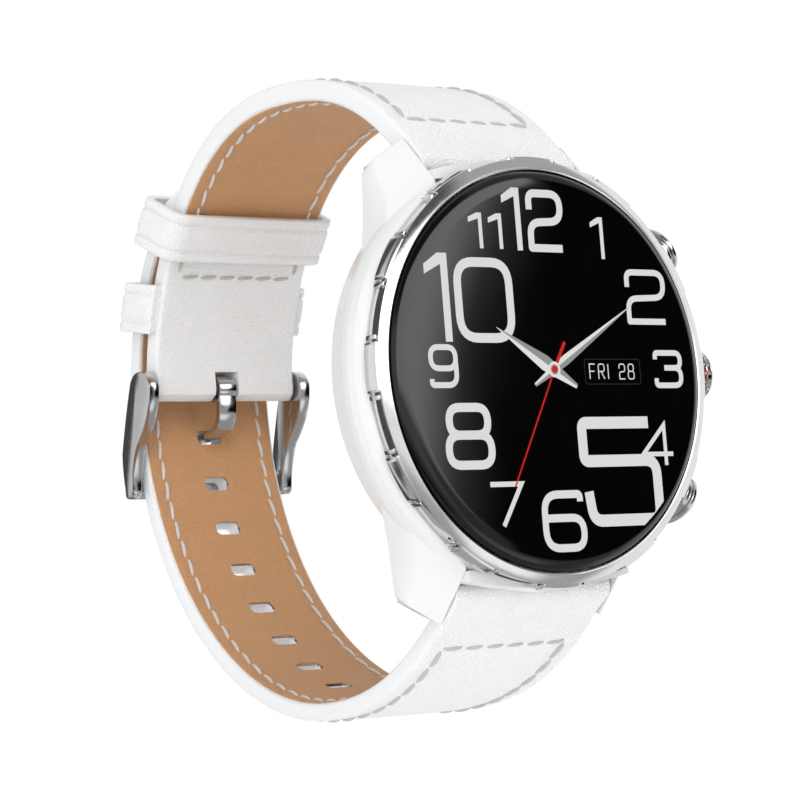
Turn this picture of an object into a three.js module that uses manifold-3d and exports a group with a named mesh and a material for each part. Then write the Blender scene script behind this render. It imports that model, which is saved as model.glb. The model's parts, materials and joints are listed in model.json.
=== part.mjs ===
// A round smartwatch: a white case with a faceted steel bezel, a crown and two pushers, on a lined
// leather strap that is closed in a loop by a pin buckle, a fixed keeper and a free keeper.
//
// Millimetres. +X runs to the crown, +Y from the dial into the wrist, +Z to 12 o'clock.
// The pieces are drawn with Y counted from the face of the glass, and moved as a whole at the end so
// that the origin is the centre of the wrist.

import * as THREE from 'three';
import { mergeVertices } from 'three/addons/utils/BufferGeometryUtils.js';
import Module from 'manifold-3d';

const wasm = await Module();
wasm.setup();

// ---- Driving dimensions ----

const CASE_RADIUS = 23.45;
const CASE_BACK_DEPTH = 10.7;
const CAVITY_RADIUS = 20.4;
const GLASS_RADIUS = 21.65;
const BEZEL_DEPTH = 2.95;
const GAP = 0.3;
const WRIST_DEPTH = 35;

const LUG_WIDTH = 22;
const BUCKLE_WIDTH = 20.3;
const TAIL_WIDTH = 19.2;
const UPPER_HALF_THICKNESS = 1.25;
const TAIL_HALF_THICKNESS = 1.05;
const BAR_RADIUS = 0.65;
const LOOP_INNER = BAR_RADIUS + GAP;
const LOOP_OUTER = 1.45;

const SPRING_BAR = { y: 7.3, z: 23.2 };
const BUCKLE_BAR = { y: 61.4, z: 5.4 };
const LUG_INSIDE = LUG_WIDTH / 2 + 0.25;

const CROWN_DEPTH = 5.5;
const PUSHER_DEPTH = 5.3;
const PUSHER_ANGLE = THREE.MathUtils.degToRad(33.5);

const HOLE_PITCH = 6;
const HOLE_LENGTH = 3.5;
const HOLE_HEIGHT = 1.7;
const KEEPER_LENGTH = 6;
const KEEPER_WALL = 1.1;

const FINE = 64;
const SMALL = 16;

const finishes = {
  caseWhite: [0xf2f2f1, 0.3, 0],
  steel: [0xc9cacc, 0.16, 1],
  darkSteel: [0x8f9194, 0.35, 1],
  glass: [0x050506, 0.06, 0],
  seal: [0x202124, 0.8, 0],
  red: [0xc4121c, 0.4, 0],
  board: [0x14432e, 0.6, 0],
  blackPlastic: [0x191a1c, 0.55, 0],
  brass: [0xc9a45a, 0.3, 1],
  foil: [0x6e7378, 0.45, 0.6],
  whiteLeather: [0xeeeeec, 0.65, 0],
  tanLeather: [0xb98756, 0.75, 0],
};

// ---- Turning geometry into closed solids ----

// A welded, closed solid of a three.js geometry, without the zero-area faces at a lathe's axis.
function solid(geometry) {
  const bare = geometry.clone();
  bare.deleteAttribute('normal');
  bare.deleteAttribute('uv');
  const welded = mergeVertices(bare, 1e-5);
  const corners = [];
  for (let i = 0; i < welded.index.count; i += 3) {
    const [a, b, c] = [0, 1, 2].map((k) => welded.index.getX(i + k));
    if (a !== b && b !== c && c !== a) corners.push(a, b, c);
  }
  return new wasm.Manifold(new wasm.Mesh({
    numProp: 3,
    vertProperties: new Float32Array(welded.attributes.position.array),
    triVerts: new Uint32Array(corners),
  }));
}

// Turns an outline of [radius, distance along the axis] about an axis through origin.
function turned(outline, segments = SMALL, origin = [0, 0, 0], axis = [0, 1, 0]) {
  const area = outline.reduce((sum, [r, t], i) => {
    const [r2, t2] = outline[(i + 1) % outline.length];
    return sum + r * t2 - r2 * t;
  }, 0);
  const points = outline.map(([r, t]) => new THREE.Vector2(r, t));
  if (area < 0) points.reverse();
  const touchesAxis = points.filter((p) => p.x === 0);
  if (touchesAxis.length === 0) points.push(points[0].clone());
  else while (points[0].x !== 0 || points.at(-1).x !== 0) points.push(points.shift());
  const geometry = new THREE.LatheGeometry(points, segments);
  const turn = new THREE.Quaternion().setFromUnitVectors(
    new THREE.Vector3(0, 1, 0),
    new THREE.Vector3(...axis).normalize(),
  );
  return solid(geometry.applyQuaternion(turn).translate(...origin));
}

const rod = (radius, from, to, origin, axis, segments = SMALL) =>
  turned([[0, from], [radius, from], [radius, to], [0, to]], segments, origin, axis);

const sleeve = (inner, outer, from, to, origin, axis, segments = SMALL) =>
  turned([[inner, from], [outer, from], [outer, to], [inner, to]], segments, origin, axis);

// A flat shape pushed along an axis; right and up are the directions of the shape's own x and y.
function pushed(shape, depth, right, up, origin = [0, 0, 0], curveSegments = 8) {
  const x = new THREE.Vector3(...right);
  const y = new THREE.Vector3(...up);
  const z = x.clone().cross(y);
  const geometry = new THREE.ExtrudeGeometry(shape, { depth, bevelEnabled: false, curveSegments });
  geometry.applyMatrix4(new THREE.Matrix4().makeBasis(x, y, z)).translate(...origin);
  return solid(geometry);
}

// A side outline drawn in (Y, Z), pushed along X.
const sideways = (shape, x0, x1, curveSegments) =>
  pushed(shape, x1 - x0, [0, 1, 0], [0, 0, 1], [x0, 0, 0], curveSegments);

// A face outline drawn in (X, Z), pushed along Y from front to back.
const inward = (shape, y0, y1, curveSegments) =>
  pushed(shape, y1 - y0, [1, 0, 0], [0, 0, 1], [0, y1, 0], curveSegments);

function block(x, y, z) {
  const geometry = new THREE.BoxGeometry(x[1] - x[0], y[1] - y[0], z[1] - z[0]);
  return solid(geometry.translate((x[0] + x[1]) / 2, (y[0] + y[1]) / 2, (z[0] + z[1]) / 2));
}

function outline(points) {
  return new THREE.Shape(points.map(([a, b]) => new THREE.Vector2(a, b)));
}

function roundedRectangle(left, bottom, right, top, radius, Kind = THREE.Shape) {
  const path = new Kind();
  path.moveTo(left + radius, bottom);
  path.lineTo(right - radius, bottom);
  path.absarc(right - radius, bottom + radius, radius, -Math.PI / 2, 0, false);
  path.lineTo(right, top - radius);
  path.absarc(right - radius, top - radius, radius, 0, Math.PI / 2, false);
  path.lineTo(left + radius, top);
  path.absarc(left + radius, top - radius, radius, Math.PI / 2, Math.PI, false);
  path.lineTo(left, bottom + radius);
  path.absarc(left + radius, bottom + radius, radius, Math.PI, Math.PI * 1.5, false);
  return path;
}

const mirrored = (shape) => [shape, shape.mirror([0, 0, 1])];

const joined = (solids) => solids.reduce((sum, one) => sum.add(one));

// ---- Case ----

// One lug at 12 o'clock on the crown side; its broad upper facet slopes away from the strap.
function lug() {
  const profile = new THREE.Shape();
  profile.moveTo(3.3, 16);
  profile.lineTo(3.5, 20.8);
  profile.lineTo(8.6, 26.4);
  profile.quadraticCurveTo(9.9, 27.7, 11.2, 26.9);
  profile.quadraticCurveTo(12.3, 26.1, 12.5, 23.2);
  profile.quadraticCurveTo(12.6, 20, 10.6, 16.5);
  const body = sideways(profile, LUG_INSIDE, 17, 5);
  const plan = new THREE.Shape();
  plan.moveTo(LUG_INSIDE - 1, 15.5);
  plan.lineTo(16.9, 15.9);
  plan.quadraticCurveTo(15, 19, 14.7, 22);
  plan.quadraticCurveTo(14.3, 25.6, 12.6, 27.6);
  plan.lineTo(LUG_INSIDE - 1, 27.6);
  const innerStart = new THREE.Vector3(LUG_INSIDE, 3.5, 20.8);
  const innerEnd = new THREE.Vector3(LUG_INSIDE, 8.6, 26.4);
  const crease = new THREE.Vector3(14.3, 6.4, 20.2);
  const along = innerEnd.clone().sub(innerStart).normalize();
  const across = crease.clone().sub(innerStart);
  across.addScaledVector(along, -across.dot(along)).normalize();
  const cutter = outline([[-1, -20], [20, -20], [20, 20], [-1, 20]]);
  const facet = pushed(
    cutter, 12, across.toArray(), along.toArray(), innerStart.toArray(),
  );
  const caseRoom = rod(21, 0, 14, [0, 0, 0], [0, 1, 0], FINE);
  return body.intersect(inward(plan, 2, 14, 4)).subtract(facet).subtract(caseRoom);
}

function caseBody() {
  const ring = turned([
    [CAVITY_RADIUS, 1.9], [21.6, 1.9], [21.6, BEZEL_DEPTH + GAP], [22.9, BEZEL_DEPTH + GAP],
    [23.3, 3.7], [CASE_RADIUS, 4.6], [CASE_RADIUS, 5.8], [23.3, 6.8],
    [22.1, 10.2], [21.7, CASE_BACK_DEPTH], [20.6, CASE_BACK_DEPTH],
    [20.6, 8.85], [17, 8.85], [17, 8.3], [CAVITY_RADIUS, 8.3],
  ], FINE);
  const endWall = new THREE.Shape();
  endWall.moveTo(-LUG_INSIDE, 20.6);
  endWall.lineTo(LUG_INSIDE, 20.6);
  endWall.lineTo(LUG_INSIDE, 22);
  endWall.quadraticCurveTo(0, 24.3, -LUG_INSIDE, 22);
  const end = inward(endWall, BEZEL_DEPTH + GAP, 5.5, 12);
  const strapRoom = block([-LUG_INSIDE, LUG_INSIDE], [5.5, 14], [21.45, 30]);
  const barHole = rod(0.7, -12.5, 12.5, [0, SPRING_BAR.y, SPRING_BAR.z], [1, 0, 0]);
  const lugs = [lug(), lug().mirror([1, 0, 0])];
  let body = ring;
  for (const piece of [...lugs, end].flatMap(mirrored)) body = body.add(piece);
  for (const cut of [strapRoom, barHole].flatMap(mirrored)) body = body.subtract(cut);
  body = body.subtract(rod(1.8, 15, 30, [0, CROWN_DEPTH, 0], [1, 0, 0]));
  for (const angle of [PUSHER_ANGLE, -PUSHER_ANGLE]) {
    body = body.subtract(rod(1.75, 15, 30, [0, PUSHER_DEPTH, 0], radial(angle)));
  }
  for (const [x, z] of screwPlaces()) body = body.subtract(rod(0.8, 8, 9.5, [x, 0, z], [0, 1, 0]));
  return body;
}

function radial(angle) {
  return [Math.cos(angle), 0, Math.sin(angle)];
}

// Twelve raised plates stand on the bezel's side wall, one for each hour.
const PLATE_COUNT = 12;
const PLATE_ANGLE = THREE.MathUtils.degToRad(13);
const PLATE_OFFSET = THREE.MathUtils.degToRad(-1);

function bezelRing() {
  const wall = 23.1;
  let ring = turned([
    [21.95, 0.95], [22.12, 0.62], [22.3, 0.6], [wall - 0.05, 0.92], [wall, 1.0],
    [wall, BEZEL_DEPTH], [21.95, BEZEL_DEPTH],
  ], FINE);
  for (let i = 0; i < PLATE_COUNT; i += 1) {
    const middle = PLATE_OFFSET + (i * 2 * Math.PI) / PLATE_COUNT;
    ring = ring.add(bezelPlate(middle, wall));
  }
  return ring;
}

// A plate has a sloping front edge, and a narrow step at each end.
function bezelPlate(middle, wall) {
  const half = PLATE_ANGLE / 2;
  const sector = (radius, spread, y0, y1) => {
    const shape = new THREE.Shape();
    shape.absarc(0, 0, radius, middle - spread, middle + spread, false);
    shape.absarc(0, 0, wall - 0.6, middle + spread, middle - spread, true);
    return inward(shape, y0, y1, 3);
  };
  const cone = turned([
    [wall - 1, 0.6], [wall - 0.1, 0.88], [wall + 0.5, 1.3], [wall + 0.5, BEZEL_DEPTH - 0.25],
    [wall + 0.1, BEZEL_DEPTH], [wall - 1, BEZEL_DEPTH],
  ], FINE);
  const face = sector(wall + 0.45, half, 0.6, BEZEL_DEPTH).intersect(cone);
  return face.add(sector(wall + 0.2, half + 0.035, 1.15, BEZEL_DEPTH - 0.1));
}

const coverGlass = () => turned([
  [0, 0], [20, 0], [20.7, 0.1], [21.25, 0.36], [GLASS_RADIUS - 0.05, 0.7], [GLASS_RADIUS, 0.95],
  [GLASS_RADIUS - 0.1, 1.05], [0, 1.05],
], FINE);

// ---- Inside the case, front to back ----

function screwPlaces() {
  return [45, 135, 225, 315].map((degrees) => {
    const [x, , z] = radial(THREE.MathUtils.degToRad(degrees));
    return [18.3 * x, 18.3 * z];
  });
}

const CONTACT_PLACES = [[-2, -15.1], [2, -15.1]];

function caseBack() {
  let back = turned([
    [11.6, 8.6], [16.7, 8.6], [16.7, 9.6], [20.3, 9.6], [20.3, 10.75], [19.9, 11.05],
    [13.4, 11.05], [13.4, 10], [11.6, 10],
  ], 40);
  for (const [x, z] of screwPlaces()) {
    back = back.subtract(rod(0.8, 8, 12, [x, 0, z], [0, 1, 0], 16));
    back = back.subtract(rod(1.3, 10, 12, [x, 0, z], [0, 1, 0], 16));
  }
  for (const [x, z] of CONTACT_PLACES) back = back.subtract(rod(1.1, 8, 12, [x, 0, z], [0, 1, 0]));
  return back;
}

const caseScrew = ([x, z]) => {
  const blank = turned([[0, 8.5], [0.5, 8.5], [0.5, 10.3], [1, 10.3], [1, 10.95], [0, 10.95]], 16,
    [x, 0, z]);
  return blank.subtract(block([x - 1.2, x + 1.2], [10.65, 11.2], [z - 0.14, z + 0.14]));
};

const chargeContact = ([x, z]) => turned([
  [0, 9.2], [0.6, 9.2], [0.8, 9.5], [0.8, 11], [0.65, 11.15], [0, 11.15],
], SMALL, [x, 0, z]);

const sensorWindow = () => turned([
  [0, 10.3], [13.1, 10.3], [13.1, 10.9], [12.7, 11.2], [10.5, 11.75], [7.6, 12.2], [5, 12.4], [0, 12.4],
], 36);

const mainBoard = () => inward(outline([
  [3.6, -12.5], [11, -15], [15.2, -9.6], [15.2, 9.6], [11, 15], [3.6, 12.5],
]), 3.8, 4.3);

const battery = () => inward(roundedRectangle(-15, -11, 3, 11, 2), 3.8, 7.9, 4);

// ---- Crown and pushers ----

const CROWN_AT = [0, CROWN_DEPTH, 0];
const CROWN_AXIS = [1, 0, 0];
const FLUTE_COUNT = 20;
const STEM_RADIUS = 0.6;
const TUBE_RADII = [1.2, 1.5];
const SEAL_MAJOR = 0.9;
const SEAL_MINOR = 0.1;

function crownKnob() {
  let knob = turned([
    [0, 24.5], [2.85, 24.5], [3.05, 24.7], [3.05, 25.8], [2.6, 26.2], [0, 26.3],
  ], 40, CROWN_AT, CROWN_AXIS);
  for (let i = 0; i < FLUTE_COUNT; i += 1) {
    const angle = (i * 2 * Math.PI) / FLUTE_COUNT;
    const y = CROWN_DEPTH + 3.2 * Math.cos(angle);
    const z = 3.2 * Math.sin(angle);
    knob = knob.subtract(rod(0.3, 24, 25.9, [0, y, z], CROWN_AXIS, 6));
  }
  return knob.subtract(rod(0.9, 24, 25.3, CROWN_AT, CROWN_AXIS));
}

function crownRing() {
  const teeth = new THREE.Shape();
  for (let i = 0; i < FLUTE_COUNT * 2; i += 1) {
    const angle = (i * Math.PI) / FLUTE_COUNT;
    const radius = i % 2 ? 2.55 : 2.95;
    const [y, z] = [radius * Math.cos(angle), radius * Math.sin(angle)];
    if (i === 0) teeth.moveTo(y, z);
    else teeth.lineTo(y, z);
  }
  const disc = sideways(teeth, 23.95, 24.2).translate([0, CROWN_DEPTH, 0]);
  return disc.subtract(rod(0.9, 23, 25, CROWN_AT, CROWN_AXIS));
}

const pusherAt = [0, PUSHER_DEPTH, 0];

// The mushroom head has one groove round its rim, and its stem reaches the switch.
const pusherButton = (angle) => turned([
  [0, 18.6], [STEM_RADIUS, 18.6], [STEM_RADIUS, 24.1], [2.6, 24.1], [2.95, 24.4], [2.95, 24.75], [2.7, 24.9],
  [2.7, 25.1], [3, 25.25], [3, 25.6], [2.5, 26.1], [1.4, 26.35], [0, 26.4],
], 24, pusherAt, radial(angle));

// The seal lies between the stem and its tube.
const sealRing = (at, origin, axis) => {
  const circle = Array.from({ length: 6 }, (_, i) => [
    SEAL_MAJOR + SEAL_MINOR * Math.cos((i * Math.PI) / 3),
    at + SEAL_MINOR * Math.sin((i * Math.PI) / 3),
  ]);
  return turned(circle, SMALL, origin, axis);
};

// A tactile switch lies on the board with its plunger towards the stem.
function tactileSwitch(angle, depth, near) {
  const right = radial(angle);
  const across = [-Math.sin(angle), 0, Math.cos(angle)];
  const housing = pushed(outline([[-2.1, -1.7], [0, -1.7], [0, 1.7], [-2.1, 1.7]]), 1.8, right, across,
    [right[0] * near, 6.7, right[2] * near]);
  return housing.add(rod(0.5, near - 0.2, near + 0.3, [0, depth, 0], right, 12));
}

// ---- Strap ----

const upperPath = new THREE.CurvePath();
const tailPath = new THREE.CurvePath();

function bezier(points) {
  return new THREE.CubicBezierCurve(...points.map(([y, z]) => new THREE.Vector2(y, z)));
}

upperPath.add(bezier([[SPRING_BAR.y, SPRING_BAR.z], [14.5, 31.6], [20.5, 35.4], [33.6, 35.4]]));
upperPath.add(bezier([[33.6, 35.4], [54.3, 35.4], [61.6, 12.5], [BUCKLE_BAR.y, BUCKLE_BAR.z]]));
tailPath.add(bezier([[SPRING_BAR.y, -SPRING_BAR.z], [14, -30.2], [21, -34.5], [32, -34.5]]));
tailPath.add(bezier([[32, -34.5], [50.3, -34.5], [65.85, -18.3], [65.85, 3.7]]));
tailPath.add(bezier([[65.85, 3.7], [66.2, 17], [57.5, 26.4], [52.8, 30.3]]));

const UPPER = { path: upperPath, wristSide: 1, length: upperPath.getLength(), endWidth: BUCKLE_WIDTH };
const TAIL = { path: tailPath, wristSide: -1, length: tailPath.getLength(), endWidth: TAIL_WIDTH };

// The point at a distance along a strap, with the direction there and the one towards the wrist.
function place(strap, distance) {
  const u = THREE.MathUtils.clamp(distance / strap.length, 0, 1);
  const at = strap.path.getPointAt(u);
  const along = strap.path.getTangentAt(u);
  const toWrist = new THREE.Vector2(along.y, -along.x).multiplyScalar(strap.wristSide);
  return { at, along, toWrist };
}

function layer(strap, from, to, outside, inside, steps = 24) {
  const edge = (offset) => Array.from({ length: steps + 1 }, (_, i) => {
    const { at, toWrist } = place(strap, from + ((to - from) * i) / steps);
    return at.clone().addScaledVector(toWrist, offset);
  });
  const shape = new THREE.Shape([...edge(outside), ...edge(inside).reverse()]);
  return sideways(shape, -LUG_WIDTH / 2, LUG_WIDTH / 2);
}

// A strap narrows smoothly between the lugs and the buckle.
function tapered(strap, shape) {
  return shape.warp((point) => {
    const share = THREE.MathUtils.smoothstep(point[1], 12, 58);
    point[0] *= THREE.MathUtils.lerp(1, strap.endWidth / LUG_WIDTH, share);
  });
}

function barLoop(bar, z = bar.z) {
  return sleeve(LOOP_INNER, LOOP_OUTER, -LUG_WIDTH / 2, LUG_WIDTH / 2, [0, bar.y, z], [1, 0, 0], 20);
}

const barRoom = (bar, z = bar.z) => rod(LOOP_INNER, -20, 20, [0, bar.y, z], [1, 0, 0], 20);

// Pushes a shape drawn in (X, along the strap) from at in a direction given in (Y, Z).
function pierced(shape, at, direction, depth, curveSegments = 1) {
  return pushed(shape, depth, [1, 0, 0], [0, direction.y, -direction.x], [0, at.x, at.y], curveSegments);
}

// The wrist side of a loop is open where the quick-release lever slides.
function leverSlot(strap) {
  const { at, toWrist } = place(strap, 0);
  return pierced(roundedRectangle(-10.4, -0.75, -7.2, 0.75, 0.7), at, toWrist, 4);
}

const FOLD_START = UPPER.length - 17.5;
const LAYER_SPLIT = 0.15;
const THIN_LEATHER = 0.55;

// The outer leather wraps the spring bar, runs to the buckle, wraps its bar and folds back inside.
function upperOuter() {
  const outside = -UPPER_HALF_THICKNESS;
  const thinEdge = UPPER_HALF_THICKNESS - THIN_LEATHER;
  let leather = joined([
    layer(UPPER, 0.3, FOLD_START, outside, -LAYER_SPLIT),
    layer(UPPER, FOLD_START - 0.4, UPPER.length - 0.2, outside, -thinEdge, 10),
    layer(UPPER, FOLD_START, UPPER.length - 0.2, thinEdge, UPPER_HALF_THICKNESS, 10),
    layer(UPPER, 0.3, 2.4, LAYER_SPLIT, UPPER_HALF_THICKNESS, 3),
    barLoop(SPRING_BAR),
    barLoop(BUCKLE_BAR),
  ]);
  leather = tapered(UPPER, leather);
  leather = leather.subtract(barRoom(SPRING_BAR)).subtract(barRoom(BUCKLE_BAR));
  leather = leather.subtract(leverSlot(UPPER));
  const tongueSlot = block([-1.7, 1.7], [55, 68], [0, BUCKLE_BAR.z + 2]);
  return leather.subtract(tongueSlot);
}

const upperLining = () => tapered(
  UPPER, layer(UPPER, 2.7, FOLD_START - GAP, LAYER_SPLIT, UPPER_HALF_THICKNESS),
);

// The strap holes are oblongs across the strap; the tongue stands in the second from the tip.
const TONGUE_HOLE = (() => {
  const samples = Array.from({ length: 400 }, (_, i) => (TAIL.length * i) / 400);
  return samples.find((distance) => distance > TAIL.length / 2 && place(TAIL, distance).at.y > -0.4);
})();

function strapHoles() {
  const half = HOLE_HEIGHT / 2;
  return Array.from({ length: 9 }, (_, i) => {
    const { at, toWrist } = place(TAIL, TONGUE_HOLE + (1 - i) * HOLE_PITCH);
    const shape = roundedRectangle(-HOLE_LENGTH / 2, -half, HOLE_LENGTH / 2, half, half - 0.05);
    return pierced(shape, at.clone().addScaledVector(toWrist, -3), toWrist, 6);
  });
}

function tailOuter() {
  let leather = joined([
    layer(TAIL, 0.3, TAIL.length, -TAIL_HALF_THICKNESS, -LAYER_SPLIT, 32),
    layer(TAIL, 0.3, 2.4, LAYER_SPLIT, TAIL_HALF_THICKNESS, 3),
    barLoop(SPRING_BAR, -SPRING_BAR.z),
  ]);
  leather = tapered(TAIL, leather).subtract(barRoom(SPRING_BAR, -SPRING_BAR.z));
  leather = leather.subtract(leverSlot(TAIL));
  return tailCut(leather);
}

const tailLining = () => tailCut(
  tapered(TAIL, layer(TAIL, 2.7, TAIL.length, LAYER_SPLIT, TAIL_HALF_THICKNESS, 32)),
);

// Holes are punched through both layers, and the tip is rounded in plan.
function tailCut(leather) {
  const { at, toWrist } = place(TAIL, TAIL.length);
  const aroundTip = new THREE.Shape();
  aroundTip.moveTo(-12, -9);
  aroundTip.lineTo(-10, -9);
  aroundTip.quadraticCurveTo(-9, -0.4, 0, -0.3);
  aroundTip.quadraticCurveTo(9, -0.4, 10, -9);
  aroundTip.lineTo(12, -9);
  aroundTip.lineTo(12, 6);
  aroundTip.lineTo(-12, 6);
  const waste = pierced(aroundTip, at.clone().addScaledVector(toWrist, -6), toWrist, 12, 8);
  return strapHoles().reduce((rest, hole) => rest.subtract(hole), leather.subtract(waste));
}

// ---- Keepers ----

const FREE_KEEPER = UPPER.length - 19.7;
const FIXED_KEEPER = UPPER.length - 9.8;

// How far outside the upper strap's middle the tail's middle lies, at a distance along the upper strap.
function tailOffset(distance) {
  const { at, along, toWrist } = place(UPPER, distance);
  const beyond = Array.from({ length: 200 }, (_, i) => {
    const { at: other } = place(TAIL, TAIL.length * (0.6 + (0.4 * i) / 199));
    const away = other.clone().sub(at);
    return { miss: Math.abs(away.dot(along)), offset: -away.dot(toWrist) };
  });
  return beyond.reduce((best, one) => (one.miss < best.miss ? one : best)).offset;
}

// A keeper is a band round both straps; near and far count from the upper strap's middle, wristwards.
function keeper(distance, near, nearWall, room) {
  const { at, along } = place(UPPER, distance);
  const far = -tailOffset(distance) - TAIL_HALF_THICKNESS - room;
  const half = BUCKLE_WIDTH / 2 + room;
  const band = roundedRectangle(
    -half - KEEPER_WALL, far - KEEPER_WALL, half + KEEPER_WALL, near + nearWall, 1.6,
  );
  const inside = roundedRectangle(-half, far, half, near, 0.9, THREE.Path);
  band.holes.push(inside);
  const start = at.clone().addScaledVector(along, -KEEPER_LENGTH / 2);
  return pushed(band, KEEPER_LENGTH, [1, 0, 0], [0, along.y, -along.x], [0, start.x, start.y], 5);
}

const freeKeeper = () => keeper(FREE_KEEPER, UPPER_HALF_THICKNESS + 0.6, KEEPER_WALL, 0.6);

// The fixed keeper's wrist side is a thin strip sewn in between the upper strap's leather and its fold.
const fixedKeeper = () => keeper(FIXED_KEEPER, -0.2, 0.4, 0.4);

// ---- Buckle ----

const CHEEK_INSIDE = BUCKLE_WIDTH / 2 + 0.35;
const CHEEK_OUTSIDE = CHEEK_INSIDE + 1.5;

function cheekOutline() {
  const { y, z } = BUCKLE_BAR;
  const shape = new THREE.Shape();
  shape.moveTo(y - 2.15, z);
  shape.absarc(y, z, 2.15, Math.PI, 0.35, true);
  shape.quadraticCurveTo(y + 3.4, z - 2.8, y + 4.65, z - 7.2);
  shape.quadraticCurveTo(y + 4.9, z - 9.6, y + 4.4, z - 12.4);
  shape.quadraticCurveTo(y + 3.7, z - 13.2, y + 3.1, z - 12.2);
  shape.quadraticCurveTo(y + 3, z - 9.6, y + 1.4, z - 6.6);
  shape.quadraticCurveTo(y - 2, z - 3.4, y - 2.15, z);
  return shape;
}

function buckleFrame() {
  const cheeks = [
    sideways(cheekOutline(), -CHEEK_OUTSIDE, -CHEEK_INSIDE, 10),
    sideways(cheekOutline(), CHEEK_INSIDE, CHEEK_OUTSIDE, 10),
  ];
  const { y, z } = BUCKLE_BAR;
  const bow = new THREE.Shape();
  bow.moveTo(-CHEEK_OUTSIDE, y + 3.2);
  bow.quadraticCurveTo(-CHEEK_OUTSIDE, y + 6.4, -CHEEK_OUTSIDE + 3.4, y + 6.4);
  bow.lineTo(CHEEK_OUTSIDE - 3.4, y + 6.4);
  bow.quadraticCurveTo(CHEEK_OUTSIDE, y + 6.4, CHEEK_OUTSIDE, y + 3.2);
  bow.lineTo(CHEEK_INSIDE, y + 3.2);
  bow.quadraticCurveTo(CHEEK_INSIDE, y + 5.3, CHEEK_INSIDE - 1.4, y + 5.3);
  bow.lineTo(-CHEEK_INSIDE + 1.4, y + 5.3);
  bow.quadraticCurveTo(-CHEEK_INSIDE, y + 5.3, -CHEEK_INSIDE, y + 3.2);
  const crossbar = pushed(bow, 3, [1, 0, 0], [0, 1, 0], [0, 0, z - 12.7], 10);
  const frame = joined([...cheeks, crossbar]);
  return frame.subtract(rod(BAR_RADIUS + GAP, -20, 20, [0, y, z], [1, 0, 0]));
}

const buckleBar = () => rod(
  BAR_RADIUS, -CHEEK_OUTSIDE, CHEEK_OUTSIDE, [0, BUCKLE_BAR.y, BUCKLE_BAR.z], [1, 0, 0],
);

// The tongue loops round the bar, passes the strap's hole squarely and lies on the crossbar.
function tongue() {
  const { y, z } = BUCKLE_BAR;
  const middle = new THREE.CurvePath();
  middle.add(new THREE.CubicBezierCurve(
    new THREE.Vector2(y - 0.9, z - 0.9), new THREE.Vector2(y - 1.2, z - 4.6),
    new THREE.Vector2(y + 0.6, z - 5.5), new THREE.Vector2(y + 3.4, z - 5.5),
  ));
  middle.add(new THREE.CubicBezierCurve(
    new THREE.Vector2(y + 3.4, z - 5.5), new THREE.Vector2(y + 6.6, z - 5.5),
    new THREE.Vector2(y + 7, z - 6.4), new THREE.Vector2(y + 7, z - 9),
  ));
  middle.add(new THREE.LineCurve(new THREE.Vector2(y + 7, z - 9), new THREE.Vector2(y + 6.9, z - 13)));
  const steps = 20;
  const side = (sign) => Array.from({ length: steps + 1 }, (_, i) => {
    const at = middle.getPointAt(i / steps);
    const along = middle.getTangentAt(i / steps);
    const half = 0.4 - 0.12 * THREE.MathUtils.smoothstep(i / steps, 0.7, 1);
    return at.clone().add(new THREE.Vector2(-along.y, along.x).multiplyScalar(sign * half));
  });
  const blade = sideways(new THREE.Shape([...side(1), ...side(-1).reverse()]), -1.25, 1.25);
  const eye = rod(1.6, -1.25, 1.25, [0, y, z], [1, 0, 0]);
  return eye.add(blade).subtract(rod(BAR_RADIUS + GAP, -3, 3, [0, y, z], [1, 0, 0]));
}

// ---- Spring bars ----

// The crown-side tip is fixed to the bar; the other tip slides with the quick-release lever.
const springBar = (side) => turned([
  [0, -6.8], [BAR_RADIUS, -6.8], [BAR_RADIUS, 10.7], [0.4, 10.7], [0.4, 12.1], [0, 12.1],
], 16, [0, SPRING_BAR.y, side * SPRING_BAR.z], [1, 0, 0]);

function releaseLever(strap) {
  const { at, toWrist } = place(strap, 0);
  const tip = turned([
    [0, -12.1], [0.4, -12.1], [0.4, -10.7], [BAR_RADIUS, -10.7], [BAR_RADIUS, -8.8], [0, -8.8],
  ], 16, [0, at.x, at.y], [1, 0, 0]);
  const knob = turned([[0, 0], [0.45, 0], [0.45, 1.9], [0.3, 2.1], [0, 2.1]], 12,
    [-9.75, at.x, at.y], [0, toWrist.x, toWrist.y]);
  return tip.add(knob);
}

// ---- The list of pieces ----

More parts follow.
